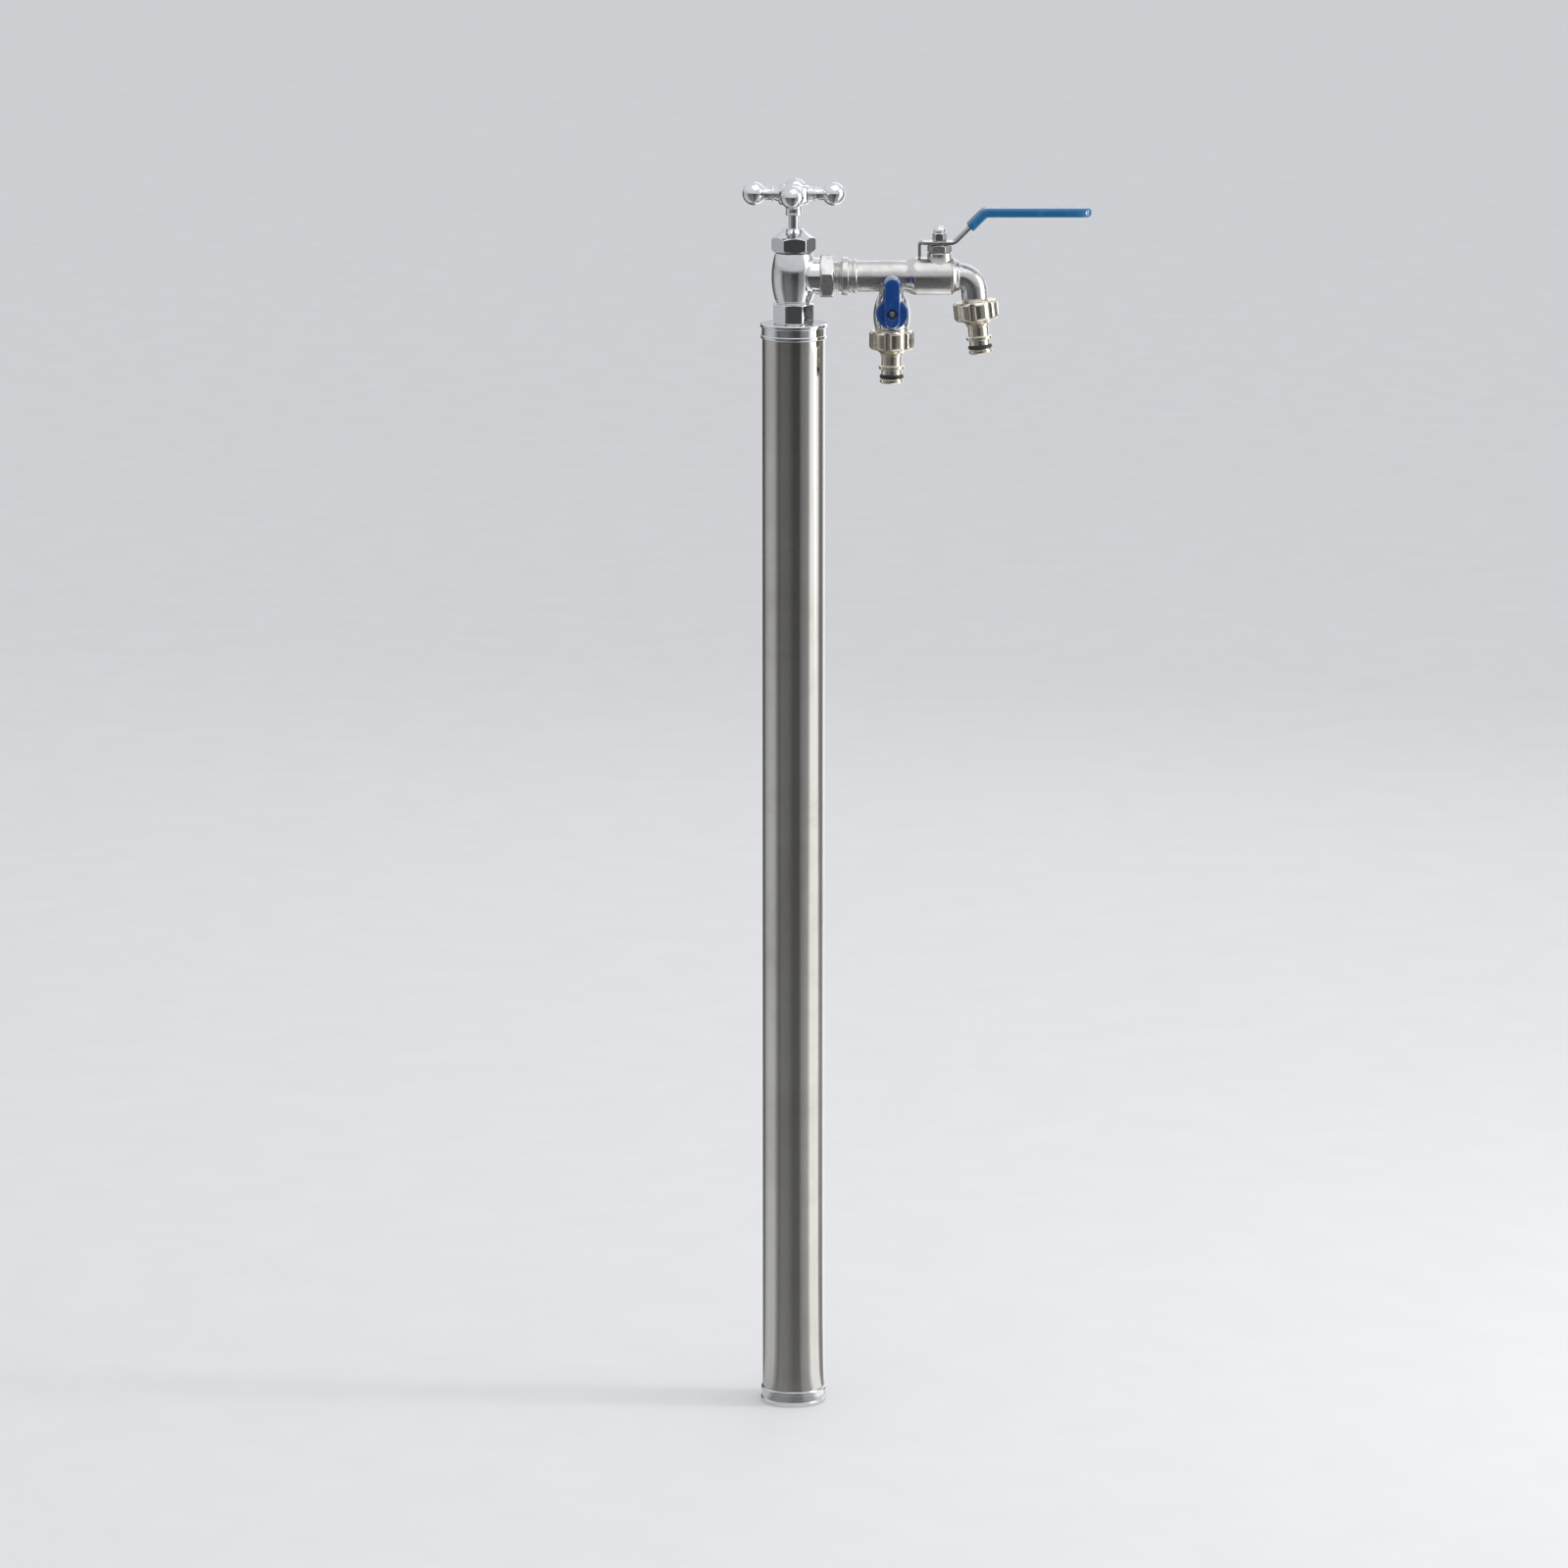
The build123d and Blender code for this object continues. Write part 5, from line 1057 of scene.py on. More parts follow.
    def bonnet(self) -> Shell:
        """Returns the hexagon with its corners turned back, and the cone above it."""
        low, high = self.hexagon_foot, self.hexagon_top
        ends = Chamfer(0.1, 1.9, 0.3, 0.5), Chamfer(0.2, 1.9, 1.0, 0.5)
        outline = nut_blank(self.hexagon_flats, 6, low, high, *ends)
        outline.arc(self.cone_mid, self.cone_top, 0.6, 14).to(0.0, self.cone_top[1])
        facets = Facets(self.hexagon_flats, 6, 3.0, low - 1, high + 0.5, corner=110.0)
        return turned(outline, UPRIGHT, 480, facets, longest=0.5)


@dataclass(frozen=True)
class CrossHandle:
    """Hub with four turned arms, a thin ring and a ball on each, and a domed cap."""

    shop: Workshop
    axis_z: float = 987.0
    foot: float = 969.9
    hub_foot: float = 978.4
    hub_top: float = 993.9
    hub_corner: float = 13.4
    hub_flat: float = 11.9
    neck: float = 6.6
    arms: int = 4
    arm_root: float = 6.6
    arm: float = 5.0
    ring: float = 5.9
    ring_span: Pair = (16.0, 17.4)
    ball: float = 9.2
    ball_place: float = 31.5
    cap: float = 7.5
    cap_foot: float = 992.5
    cap_shoulder: Pair = (5.3, 994.72)
    cap_top: float = 995.5
    turn: float = -2.0

    def build(self) -> None:
        """Makes the hub, the four arms and the cap."""
        self.shop.make("handle_hub", self.hub())
        for number in range(self.arms):
            turn = math.radians(self.turn + number * 360 / self.arms)
            outwards = (math.cos(turn), math.sin(turn), 0.0)
            along = Place((0.0, 0.0, self.axis_z), (0.0, 0.0, -1.0), outwards)
            shell = turned(self.arm_outline(), along, 96, longest=0.8)
            self.shop.make(f"handle_arm_{number + 1}", shell)
        cap = Outline(0.0, self.cap_foot).to(self.cap, self.cap_foot).to(self.cap, self.hub_top, 0.4)
        cap.arc(self.cap_shoulder, (0.0, self.cap_top))
        self.shop.make("handle_cap", turned(cap, UPRIGHT, 96, longest=0.6))

    def hub(self) -> Shell:
        """Returns the hub: a neck, and a head with four soft flats and a shallow dish for the cap."""
        edge = self.hub_corner - 2.2
        dish = self.hub_top - 0.5
        outline = Outline(0.0, self.foot).to(self.neck, self.foot, 0.7)
        outline.to(self.neck - 0.4, self.foot + 3.0, 2.0).to(self.neck, self.hub_foot, 1.6)
        outline.to(edge, self.hub_foot + 0.2, 1.2).to(self.hub_corner, self.hub_foot + 2.4, 1.6)
        outline.to(self.hub_corner, self.hub_top - 2.6, 2.0).to(edge, self.hub_top, 1.8)
        outline.to(self.cap + 0.7, self.hub_top, 0.3).to(self.cap + 0.2, dish, 0.2).to(0.0, dish)
        facets = Facets(2 * self.hub_flat, 4, self.turn - 45, self.hub_foot, self.hub_top, 40.0, 36.0)
        return turned(outline, UPRIGHT, 320, facets, longest=0.5)

    def arm_outline(self) -> Outline:
        """Returns an arm's outline from inside the hub, over its ring, to the tip of the ball."""
        inside = self.hub_flat - 2.0
        low, high = self.ring_span
        neck_end = self.ball_place - math.sqrt(self.ball**2 - self.arm**2)
        outline = Outline(0.0, inside).to(self.arm_root, inside)
        outline.to(self.arm_root - 0.3, self.hub_flat, 0.8).to(self.arm, low - 0.6, 0.8)
        outline.to(self.arm, low, 0.2).to(self.ring, low + 0.1, 0.5)
        outline.to(self.ring, high - 0.1, 0.5).to(self.arm, high, 0.3)
        outline.to(self.arm - 0.3, high + 3.1, 1.5).to(self.arm, neck_end, 0.6)
        return outline.arc((self.ball, self.ball_place), (0.0, self.ball_place + self.ball), steps=40)


@dataclass(frozen=True)
class Manifold:
    """Lock nut, backing ring, threaded neck, tube, ball-valve housing and the bent spout.

    Heights are distances along the arm. The shoulder, the groove and the collar past the ring
    are each a radius and the place where it ends, and so is the root of the plug's neck.
    """

    shop: Workshop
    nut_end: float = 31.6
    nut_flats: float = 32.5
    ring: Pair = (38.1, 43.3)
    ring_radii: Pair = (12.35, 15.0)
    shoulder: Pair = (13.0, 45.9)
    groove: Pair = (12.0, 46.7)
    collar: Pair = (13.3, 49.4)
    thread_depth: float = 0.75
    thread_pitch: float = 1.8
    tube: float = 12.3
    flare: float = 4.7
    housing: float = 14.8
    housing_span: Pair = (95.1, 125.1)
    stem_boss: float = 9.6
    stem_boss_root: float = 13.2
    plug_rim: float = 1.3
    neck_root: Pair = (12.6, 128.7)
    neck_end: float = 12.0
    spout: float = 10.25
    bend_start: float = 131.3
    bend: float = 11.5
    tilt: float = 6.5
    leg: float = 9.3

    def build(self) -> None:
        """Makes the nut, the ring, the manifold, the spout and the gland nut."""
        self.shop.make("arm_lock_nut", self.lock_nut())
        ring = bored(*self.ring_radii, *self.ring, 0.8)
        self.shop.make("arm_ring", turned(ring, ALONG_ARM, 160, closed=True))
        boss = valve_boss(END_STEM, self.stem_boss, self.stem_boss_root)
        self.shop.make("arm_manifold", self.body(), boss)
        self.shop.make("end_spout", self.plug(), self.elbow())
        self.shop.make("end_gland_nut", gland_nut(END_STEM))

    def lock_nut(self) -> Shell:
        """Returns the hexagon nut with its corners turned back."""
        low, high = BOSS_END, self.nut_end
        ends = Chamfer(0.1, 1.7, 0.4, 0.5), Chamfer(0.1, 1.7, 0.5, 0.5)
        outline = nut_blank(self.nut_flats, 6, low, high, *ends).to(0.0, high)
        facets = Facets(self.nut_flats, 6, 20.0, low - 1, high + 1, corner=110.0)
        return turned(outline, ALONG_ARM, 480, facets, longest=0.5)

    def body(self) -> Shell:
        """Returns the threaded neck, shoulder, collar, tube and housing as one turned shell."""
        start, end = self.housing_span
        ring_foot, ring_end = self.ring
        shoulder, shoulder_end = self.shoulder
        groove, groove_end = self.groove
        collar, collar_end = self.collar
        inside = BOSS_END - 1
        outline = Outline(0.0, inside).to(self.tube, inside).to(self.tube, ring_end)
        outline.to(shoulder, ring_end, 0.4).to(shoulder, shoulder_end, 0.5)
        outline.to(groove, shoulder_end, 0.2).to(groove, groove_end, 0.2)
        outline.to(collar, groove_end, 0.6).to(collar, collar_end, 0.6)
        outline.to(self.tube, collar_end + 0.3, 0.8).to(self.tube, start - self.flare, 3.0)
        outline.to(self.housing, start, 2.4).to(self.housing, end, 0.7).to(0.0, end)
        thread = Thread(self.thread_depth, self.thread_pitch, self.nut_end - 1.0, ring_foot + 1.0)
        return turned(outline, ALONG_ARM, 192, thread, longest=0.32)

    def plug(self) -> Shell:
        """Returns the end plug's rim and the neck that narrows to the spout."""
        foot = self.housing_span[1]
        outline = Outline(0.0, foot).to(self.housing, foot, 0.6)
        outline.to(self.housing, foot + self.plug_rim, 0.6).to(*self.neck_root, 1.2)
        outline.to(self.neck_end, self.bend_start, 1.0).to(0.0, self.bend_start)
        return turned(outline, ALONG_ARM, 160, longest=0.8)

    def flow(self) -> Array:
        """Returns the way (x, z) that the spout points: down, tilted outwards."""
        tilt = math.radians(self.tilt)
        return np.array([math.sin(tilt), -math.cos(tilt)])

    def elbow(self) -> Shell:
        """Returns the bent spout: circles carried along a run, an arc and a straight leg."""
        turn = np.linspace(0.0, math.radians(90 - self.tilt), 40)
        arc_x = self.bend_start + self.bend * np.sin(turn)
        arc_z = ARM_AXIS_Z - self.bend * (1 - np.cos(turn))
        arc = np.stack([arc_x, arc_z], axis=1)
        run = np.array([(self.bend_start - back, ARM_AXIS_Z) for back in (3.0, 0.4)])
        stations = np.array([0.6, 3.0, 6.0, self.leg + 2.0])
        leg = arc[-1] + stations[:, None] * self.flow()
        around = np.linspace(0.0, math.tau, 128, endpoint=False)
        circle = self.spout * np.stack([np.cos(around), np.sin(around)], axis=1)
        return swept(np.concatenate([run, arc, leg]), circle, UPRIGHT)

    def outlet(self) -> Place:
        """Returns the frame of the spout's hose nut: the leg's end, with z along the flow."""
        x, z = self.flow().tolist()
        end_x = self.bend_start - self.bend * z + self.leg * x
        end_z = ARM_AXIS_Z - self.bend * (1 - x) + self.leg * z
        return Place((end_x, 0.0, end_z), (0.0, 1.0, 0.0), (x, 0.0, z))


def valve_boss(place: Place, radius: float, root: float, inside: float = 6.0) -> Shell:
    """Returns a stem's boss that flares into the housing under it.

    Args:
        place: The ball valve's frame, whose z axis is the stem.
        radius: The boss's radius.
        root: Height at which the flare ends.
        inside: Height at which it begins, inside the housing.
    """
    outline = Outline(0.0, inside).to(radius + 3.0, inside)
    outline.arc((radius + 0.6, root - 1.0), (radius, root + 3.0))
    outline.to(radius, GLAND_FOOT, 0.7).to(0.0, GLAND_FOOT)
    return turned(outline, place, 128, longest=0.8)


def gland_nut(place: Place) -> Shell:
    """Returns the small hexagon nut over a ball valve's stem, in the valve's frame."""
    flats, low, high = 17.0, GLAND_FOOT, 25.0
    ends = Chamfer(0.05, 0.9, 0.2, 0.3), Chamfer(0.1, 1.0, 0.3, 0.3)
    outline = nut_blank(flats, 6, low, high, *ends).to(0.0, high)
    facets = Facets(flats, 6, STEM_NUT_TURN, low - 1, high + 1, corner=110.0)
    return turned(outline, place, 300, facets, longest=0.3)


@dataclass(frozen=True)
class Lever:
    """Bent steel lever with its stop tab, the dipped sleeve on it and the domed nut."""

    shop: Workshop
    foot: float = 25.6
    thickness: float = 2.5
    width: float = 17.0
    edge: float = 0.5
    tail: float = 14.6
    tail_narrowing: float = 0.22
    tail_fade: float = 1.6
    tab_width: float = 10.0
    tab_foot: float = 15.6
    tab_bend: float = 2.2
    overlap: float = 0.16
    bend_place: float = 12.0
    run: float = 24.0
    rise: float = 24.1
    length: float = 116.0
    bend: float = 2.9
    sleeve: Pair = (19.6, 7.4)
    sleeve_edge: float = 2.6
    sleeve_tip: float = 120.4
    tip_length: float = 10.0
    lip_length: float = 0.9
    lip_shares: Pair = (0.05, 0.16)
    least_share: float = 0.02
    nut_flats: float = 10.0
    nut_hexagon: float = 6.4
    nut_height: float = 12.2
    nut_dome: float = 4.8

    def build(self) -> None:
        """Makes the lever, the sleeve and the nut."""
        self.shop.make("end_lever", self.plate(), self.tab())
        self.shop.make("end_lever_sleeve", self.grip())
        self.shop.make("end_acorn_nut", self.nut())

    def mid_line(self, start: float, end: float) -> Array:
        """Returns the lever's mid line (x, z) in the valve's frame, with its two bends.

        Args:
            start: Where it begins along x.
            end: Where it ends along x.
        """
        low = self.foot + self.thickness / 2
        high = low + self.rise
        slope_end = self.bend_place + self.run
        corners = np.array([(start, low), (self.bend_place, low), (slope_end, high), (end, high)])
        return softened(corners, np.array([0.0, self.bend, self.bend, 0.0]), closed=False, steps=9)

    def plate(self) -> Shell:
        """Returns the flat plate, carried along the mid line and narrowed at its tail.

        Its width falls short by a share that fades with the distance d from the tail, as
        e^(-d / fade).
        """
        path = refined(self.mid_line(-self.tail, self.length), 1.5)
        width = 1 - self.tail_narrowing * np.exp(-(path[:, 0] + self.tail) / self.tail_fade)
        section = rounded_rectangle(self.width, self.thickness, self.edge)
        return swept(path, section, END_STEM, np.stack([width, np.ones(len(path))], axis=1))

    def tab(self) -> Shell:
        """Returns the stop tab, bent down from the plate's tail."""
        x = -self.tail - self.thickness / 2
        top = self.foot + self.thickness / 2
        corners = np.array([(x, self.tab_foot), (x, top), (x + 2 * self.thickness, top)])
        bent = softened(corners, np.array([0.0, self.tab_bend, 0.0]), closed=False, steps=9)
        section = rounded_rectangle(self.tab_width, self.thickness - self.overlap, self.edge)
        return swept(refined(bent, 0.8), section, END_STEM)

    def grip(self) -> Shell:
        """Returns the dipped sleeve, from half way up the slope to its round tip.

        Width and height follow a half circle at the tip. Over the lip at the start each draws
        in by a share of the square of what is left of the lip.
        """
        half_width, half_height = self.sleeve[0] / 2, self.sleeve[1] / 2
        start = self.bend_place + self.run / 2
        begin = np.array([[start, self.foot + (self.thickness + self.rise) / 2]])
        line = self.mid_line(0.0, self.sleeve_tip)
        path = refined(np.concatenate([begin, line[line[:, 0] > start + 0.5]]), 1.2)
        length = lengths(path)
        near_start = np.array([0.0, 0.15, 0.35, 0.6, 0.9, 1.3, 1.8])
        near_tip = length[-1] - self.tip_length * np.linspace(0.0, 1.0, 26) ** 2
        stations = np.unique(np.concatenate([length, near_start, near_tip]))
        left = stations[-1] - stations
        lip = np.clip(1 - stations / self.lip_length, 0, 1) ** 2
        width = round_end(left, half_width) * (1 - self.lip_shares[0] * lip)
        height = round_end(left, half_height) * (1 - self.lip_shares[1] * lip)
        scale = np.maximum(np.stack([width, height], axis=1), self.least_share)
        section = rounded_rectangle(*self.sleeve, self.sleeve_edge)
        return swept(stationed(path, stations), section, END_STEM, scale)

    def nut(self) -> Shell:
        """Returns the domed nut: a hexagon with a ball-ended top."""
        low = self.foot + self.thickness
        high, top = low + self.nut_hexagon, low + self.nut_height
        dome, slope = self.nut_dome, 0.8
        ends = Chamfer(0.0, 0.5, 0.2, 0.2), Chamfer(0.1, 0.9, 0.4, 0.3)
        outline = nut_blank(self.nut_flats, 6, low, high, *ends)
        outline.to(dome - 0.3, high + 0.1, 0.3).to(dome, top - dome, 0.4)
        on_dome = (dome * math.cos(slope), top - dome + dome * math.sin(slope))
        outline.arc(on_dome, (0.0, top), steps=24)
        facets = Facets(self.nut_flats, 6, STEM_NUT_TURN, low - 1, high + 0.05)
        return turned(outline, END_STEM, 240, facets, longest=0.3)


@dataclass(frozen=True)
class FrontValve:
    """Pear-shaped body in front of the manifold, its boss, tail, wing handle and screw.

    The pear's side runs through points that are each a radius and a height over its middle.
    """

    shop: Workshop
    foot: float = 13.3
    foot_depth: float = 14.7
    belly: Pair = (14.4, -2.0)
    neck: Pair = (10.4, 11.5)
    throat: Pair = (8.9, 16.5)
    flare: Pair = (9.4, 20.0)
    root: Pair = (7.0, 21.6)
    stem_boss: float = 9.6
    stem_boss_root: float = 13.0
    tail: float = 13.2
    tail_length: float = 4.0
    outlet_gap: float = 1.9
    disc: float = 12.7
    disc_flat: float = 12.2
    disc_thickness: float = 4.6
    handle_foot: float = 25.7
    tongue_half: float = 7.3
    tongue_reach: float = 29.6
    tongue_height: float = 7.4
    draft: float = 13.0
    well: float = 4.7
    well_depth: float = 4.2
    shank: float = 1.45
    screw_head: float = 2.6

    def build(self) -> None:
        """Makes the body, the gland nut, the tail, the wing and its screw."""
        boss = valve_boss(FRONT_STEM, self.stem_boss, self.stem_boss_root)
        self.shop.make("front_valve_body", self.body(), boss)
        self.shop.make("front_gland_nut", gland_nut(FRONT_STEM))
        tail = rod(self.tail, -self.foot_depth - self.tail_length, -self.foot_depth, 0.0, 0.3)
        self.shop.make("front_tail", turned(tail, FRONT_UPRIGHT, 128))
        origin = (FRONT_X, FRONT_Y - self.handle_foot, FRONT_Z)
        face = Place(origin, (1.0, 0.0, 0.0), (0.0, -1.0, 0.0))
        self.shop.make("front_handle", self.plate(face), self.wing(face))
        self.shop.make("front_handle_screw", self.screw(face))

    def outlet(self) -> Place:
        """Returns the frame of the hose nut under the body, with z downwards."""
        foot = FRONT_Z - self.foot_depth - self.outlet_gap
        return Place((FRONT_X, FRONT_Y, foot), (1.0, 0.0, 0.0), (0.0, 0.0, -1.0))

    def body(self) -> Shell:
        """Returns the pear-shaped body, whose neck flares into the manifold's tube."""
        outline = Outline(0.0, -self.foot_depth).to(self.foot - 0.2, -self.foot_depth, 0.9)
        outline.arc(self.belly, self.neck, 0.0, 30)
        outline.to(*self.throat, 2.4).to(*self.flare, 1.4).to(*self.root).to(0.0, self.root[1])
        return turned(outline, FRONT_UPRIGHT, 160, longest=0.8)

    def plate(self, face: Place) -> Shell:
        """Returns the disc under the wing, cut flat along its lower edge, with soft edges."""
        edge, middle = self.disc_thickness, self.disc_thickness + 0.35
        outline = Outline(0.0, 0.0).to(self.disc, 0.0, 0.8).to(self.disc, edge, 1.5)
        outline.to(self.disc - 3.2, middle, 1.2).to(0.0, middle)

        def cut_edge(radius: Array, height: Array, angle: Array) -> Array:
            """Radius no more than the lower edge's distance over the downward cosine."""
            down = np.clip(-np.sin(angle), 0.02, None)
            return lesser(radius, self.disc_flat / down, 70.0)

        return turned(outline, face, 240, cut_edge, longest=0.6)

    def slot(self, columns: int) -> tuple[Array, Array]:
        """Goes evenly round the tongue's slot: up one side, over the top, down and under.

        Args:
            columns: Number of places round it.

        Returns:
            The point on the spine behind each place, and the direction outwards there.
        """
        low, high = self.tongue_half - self.disc_flat, self.tongue_reach - self.tongue_half
        span, bend = high - low, math.pi * self.tongue_half
        along = np.linspace(0.0, 2 * (span + bend), columns, endpoint=False)
        over = np.clip(along - span, 0, bend)
        under = np.clip(along - 2 * span - bend, 0, bend)
        turn = (over + under) / self.tongue_half
        rise = np.clip(along, 0, span) - np.clip(along - span - bend, 0, span)
        spine = np.stack([np.zeros(columns), low + rise], axis=1)
        return spine, np.stack([np.cos(turn), np.sin(turn)], axis=1)

    def wing(self, face: Place) -> Shell:
        """Returns the tongue with a well for its screw.

        The walls follow a slot's outline moved inwards: spine point plus (half width less the
        inset) times the outward direction. The top is drawn from the slot's inset outline to
        the well's circle by straight lines, each aimed from the well's centre.
        """
        spine, outward = self.slot(360)
        foot, top = 0.4, self.disc_thickness + self.tongue_height
        bottom = top - self.well_depth
        shoulder = self.tongue_height * math.tan(math.radians(self.draft))
        wall = Outline(0.35, foot, 0.2).to(0.0, foot + 0.4, 0.3).to(0.0, self.disc_thickness, 1.2)
        wall.to(shoulder, top, 2.8).to(shoulder + 1.4, top)
        inset, height = wall.path(longest=0.6).T
        sides = at_heights(spine + (self.tongue_half - inset)[:, None, None] * outward, height)
        edge = sides[-1, :, :2]
        away = edge / np.linalg.norm(edge, axis=1)[:, None]
        share = np.linspace(0.0, 1.0, 14)[1:]
        inwards = (self.well * away - edge) * share[:, None, None]
        level = at_heights(edge + inwards, np.full(len(share), top))
        bore = Outline(self.well, top).to(self.well - 0.25, top - 0.3, 0.2)
        bore.to(self.well - 0.3, bottom, 0.5).to(0.4, bottom)
        radius, depth = bore.path(longest=0.6)[1:].T
        hole = at_heights(radius[:, None, None] * away, depth)
        middle = (spine[:, 1].min() + spine[:, 1].max()) / 2
        ends = np.array([0.0, middle, foot]), np.array([0.0, 0.0, bottom])
        grid = np.concatenate([sides, level, hole])
        return skin(face.carry(grid), tuple(face.carry(point) for point in ends))

    def screw(self, face: Place) -> Shell:
        """Returns the screw's pan head with its dished middle, and the shank under it."""
        seat = self.disc_thickness + self.tongue_height - self.well_depth
        side, top = seat + 0.9, seat + 1.6
        outline = Outline(0.0, seat - 3.0).to(self.shank, seat - 3.0).to(self.shank, seat)
        outline.to(self.screw_head, seat, 0.2).to(self.screw_head, side, 0.4).to(1.9, top, 0.5)
        outline.to(0.9, top, 0.2).to(0.6, side, 0.1).to(0.0, side)
        return turned(outline, face, 72, longest=0.3)


@dataclass(frozen=True)
class HoseConnector:
    """Lobed hose nut with a coned skirt, push-on spigot and its seal.

    The steps are the spigot's bead, its locking ring and its groove. Each is a radius, how far
    past the nut it starts, its width and how soft its four corners are.
    """

    shop: Workshop
    side: str
    place: Place
    nut: float = 17.8
    height: float = 15.0
    skirt: Pair = (12.6, 9.3)
    skirt_height: float = 3.1
    lobes: int = 8
    lobe_turn: float = 11.0
    scallop: float = 4.4
    scallop_depth: float = 1.5
    spigot: float = 8.1
    bore: float = 5.5
    length: float = 27.2
    steps: tuple[tuple[float, ...], ...] = (
        (8.9, 3.3, 1.7, 0.2, 0.5, 0.5, 0.5),
        (10.1, 13.2, 2.8, 0.6, 0.7, 0.6, 0.5),
        (7.0, 20.2, 3.1, 0.2, 0.2, 0.2, 0.2),
    )
    lip: float = 9.3
    lip_place: float = 24.1
    seal: float = 9.5
    seal_gap: float = 0.05

    def build(self) -> None:
        """Makes the nut, the spigot and the seal."""
        self.shop.make(f"{self.side}_hose_nut", self.hose_nut())
        spigot = turned(self.spigot_outline(), self.place, 128, closed=True, longest=0.8)
        self.shop.make(f"{self.side}_hose_spigot", spigot)
        groove, past, width = self.steps[-1][:3]
        low = self.height + past + self.seal_gap
        high = self.height + past + width - self.seal_gap
        seal = bored(groove + self.seal_gap, self.seal, low, high, 1.2, 0.6)
        shell = turned(seal, self.place, 128, closed=True, longest=0.4)
        self.shop.make(f"{self.side}_spigot_oring", shell)

    def hose_nut(self) -> Shell:
        """Returns the nut: a turned blank with scallops, and the skirt under it."""
        edge = self.nut - 1.6
        top, end = self.skirt
        skirt_end = self.height + self.skirt_height
        outline = Outline(0.0, 0.0).to(edge, 0.0, 0.6).to(self.nut, 1.7, 0.9)
        outline.to(self.nut, self.height - 1.8, 0.9).to(edge, self.height, 0.6)
        outline.to(top, self.height, 0.5).to(end, skirt_end, 0.5).to(0.0, skirt_end)
        centre = self.nut + self.scallop - self.scallop_depth
        lobes = Lobes(self.lobes, self.lobe_turn, self.scallop, centre, -1.0, self.height - 0.05)
        return turned(outline, self.place, 480, lobes, longest=0.5)

    def spigot_outline(self) -> Outline:
        """Returns the spigot's outline with its bead, locking ring, groove and lip, and its bore."""
        start, end = self.height - 3, self.height + self.length
        lip_foot = self.height + self.lip_place
        outline = Outline(self.bore, start).to(self.spigot, start)
        for radius, past, width, *softs in self.steps:
            low, high = self.height + past, self.height + past + width
            corners = (self.spigot, low), (radius, low), (radius, high), (self.spigot, high)
            for corner, soft in zip(corners, softs):
                outline.to(*corner, soft)
        outline.to(self.spigot, lip_foot, 0.2).to(self.lip, lip_foot, 0.3).to(self.lip, end - 1.0, 0.5)
        outline.to(self.spigot, end, 0.7).to(self.bore + 0.2, end, 0.5)
        return outline.to(self.bore, end - 0.6, 0.3)


# The studio


@dataclass(frozen=True)
class Card:
    """A card round the post that only polished metal sees, so it is a painted reflection: the dark card
    paints dark reflections, and the glowing card paints bright ones though it is no lamp.

    Its shares are pairs of an azimuth and how dense the card is there, from 0 to 1. Glow is how
    brightly it shines, where 1 is white, and lift keeps one card off another, in metres.
    """

    name: str
    colour: Colour
    glow: float
    lift: float
    shares: tuple[Pair, ...]


CARDS = (
    # Painted dark reflections: this card darkens what the metal mirrors, most in front, at the left and
    # behind.
    Card("dark_reflection_card", (0.035, 0.035, 0.032), 0.0, 0.0, (
        (-180, 0.80), (-165, 0.95), (-138, 0.90), (-122, 0.35), (-100, 0.12), (-76, 0.20), (-66, 0.62),
        (-56, 0.86), (-44, 0.78), (-20, 0.82), (0, 0.95), (20, 0.95), (28, 0.70), (52, 0.50),
        (62, 0.05), (100, 0.0), (112, 0.70), (130, 0.70), (142, 0.0), (168, 0.0), (180, 0.80),
    )),
    # Painted bright reflections: this card glows though it is no lamp, and only glossy surfaces see it, as
    # bright streaks from the right and from behind on the right.
    Card("bright_reflection_card", (0.0, 0.0, 0.0), 1.25, 0.002, (
        (-180, 0.0), (56, 0.0), (66, 1.0), (98, 1.0), (106, 0.0), (132, 0.0), (142, 1.0), (166, 1.0),
        (174, 0.0), (180, 0.0),
    )),
)


def matte(name: str) -> tuple[bpy.types.Material, Nodes, bpy.types.Node]:
    """Returns a blank material whose surface has no gloss, with its nodes and its shader."""
    material, nodes, shader = blank(name)
    shader.inputs["Roughness"].default_value = 1.0
    shader.inputs["Specular IOR Level"].default_value = 0.0
    return material, nodes, shader


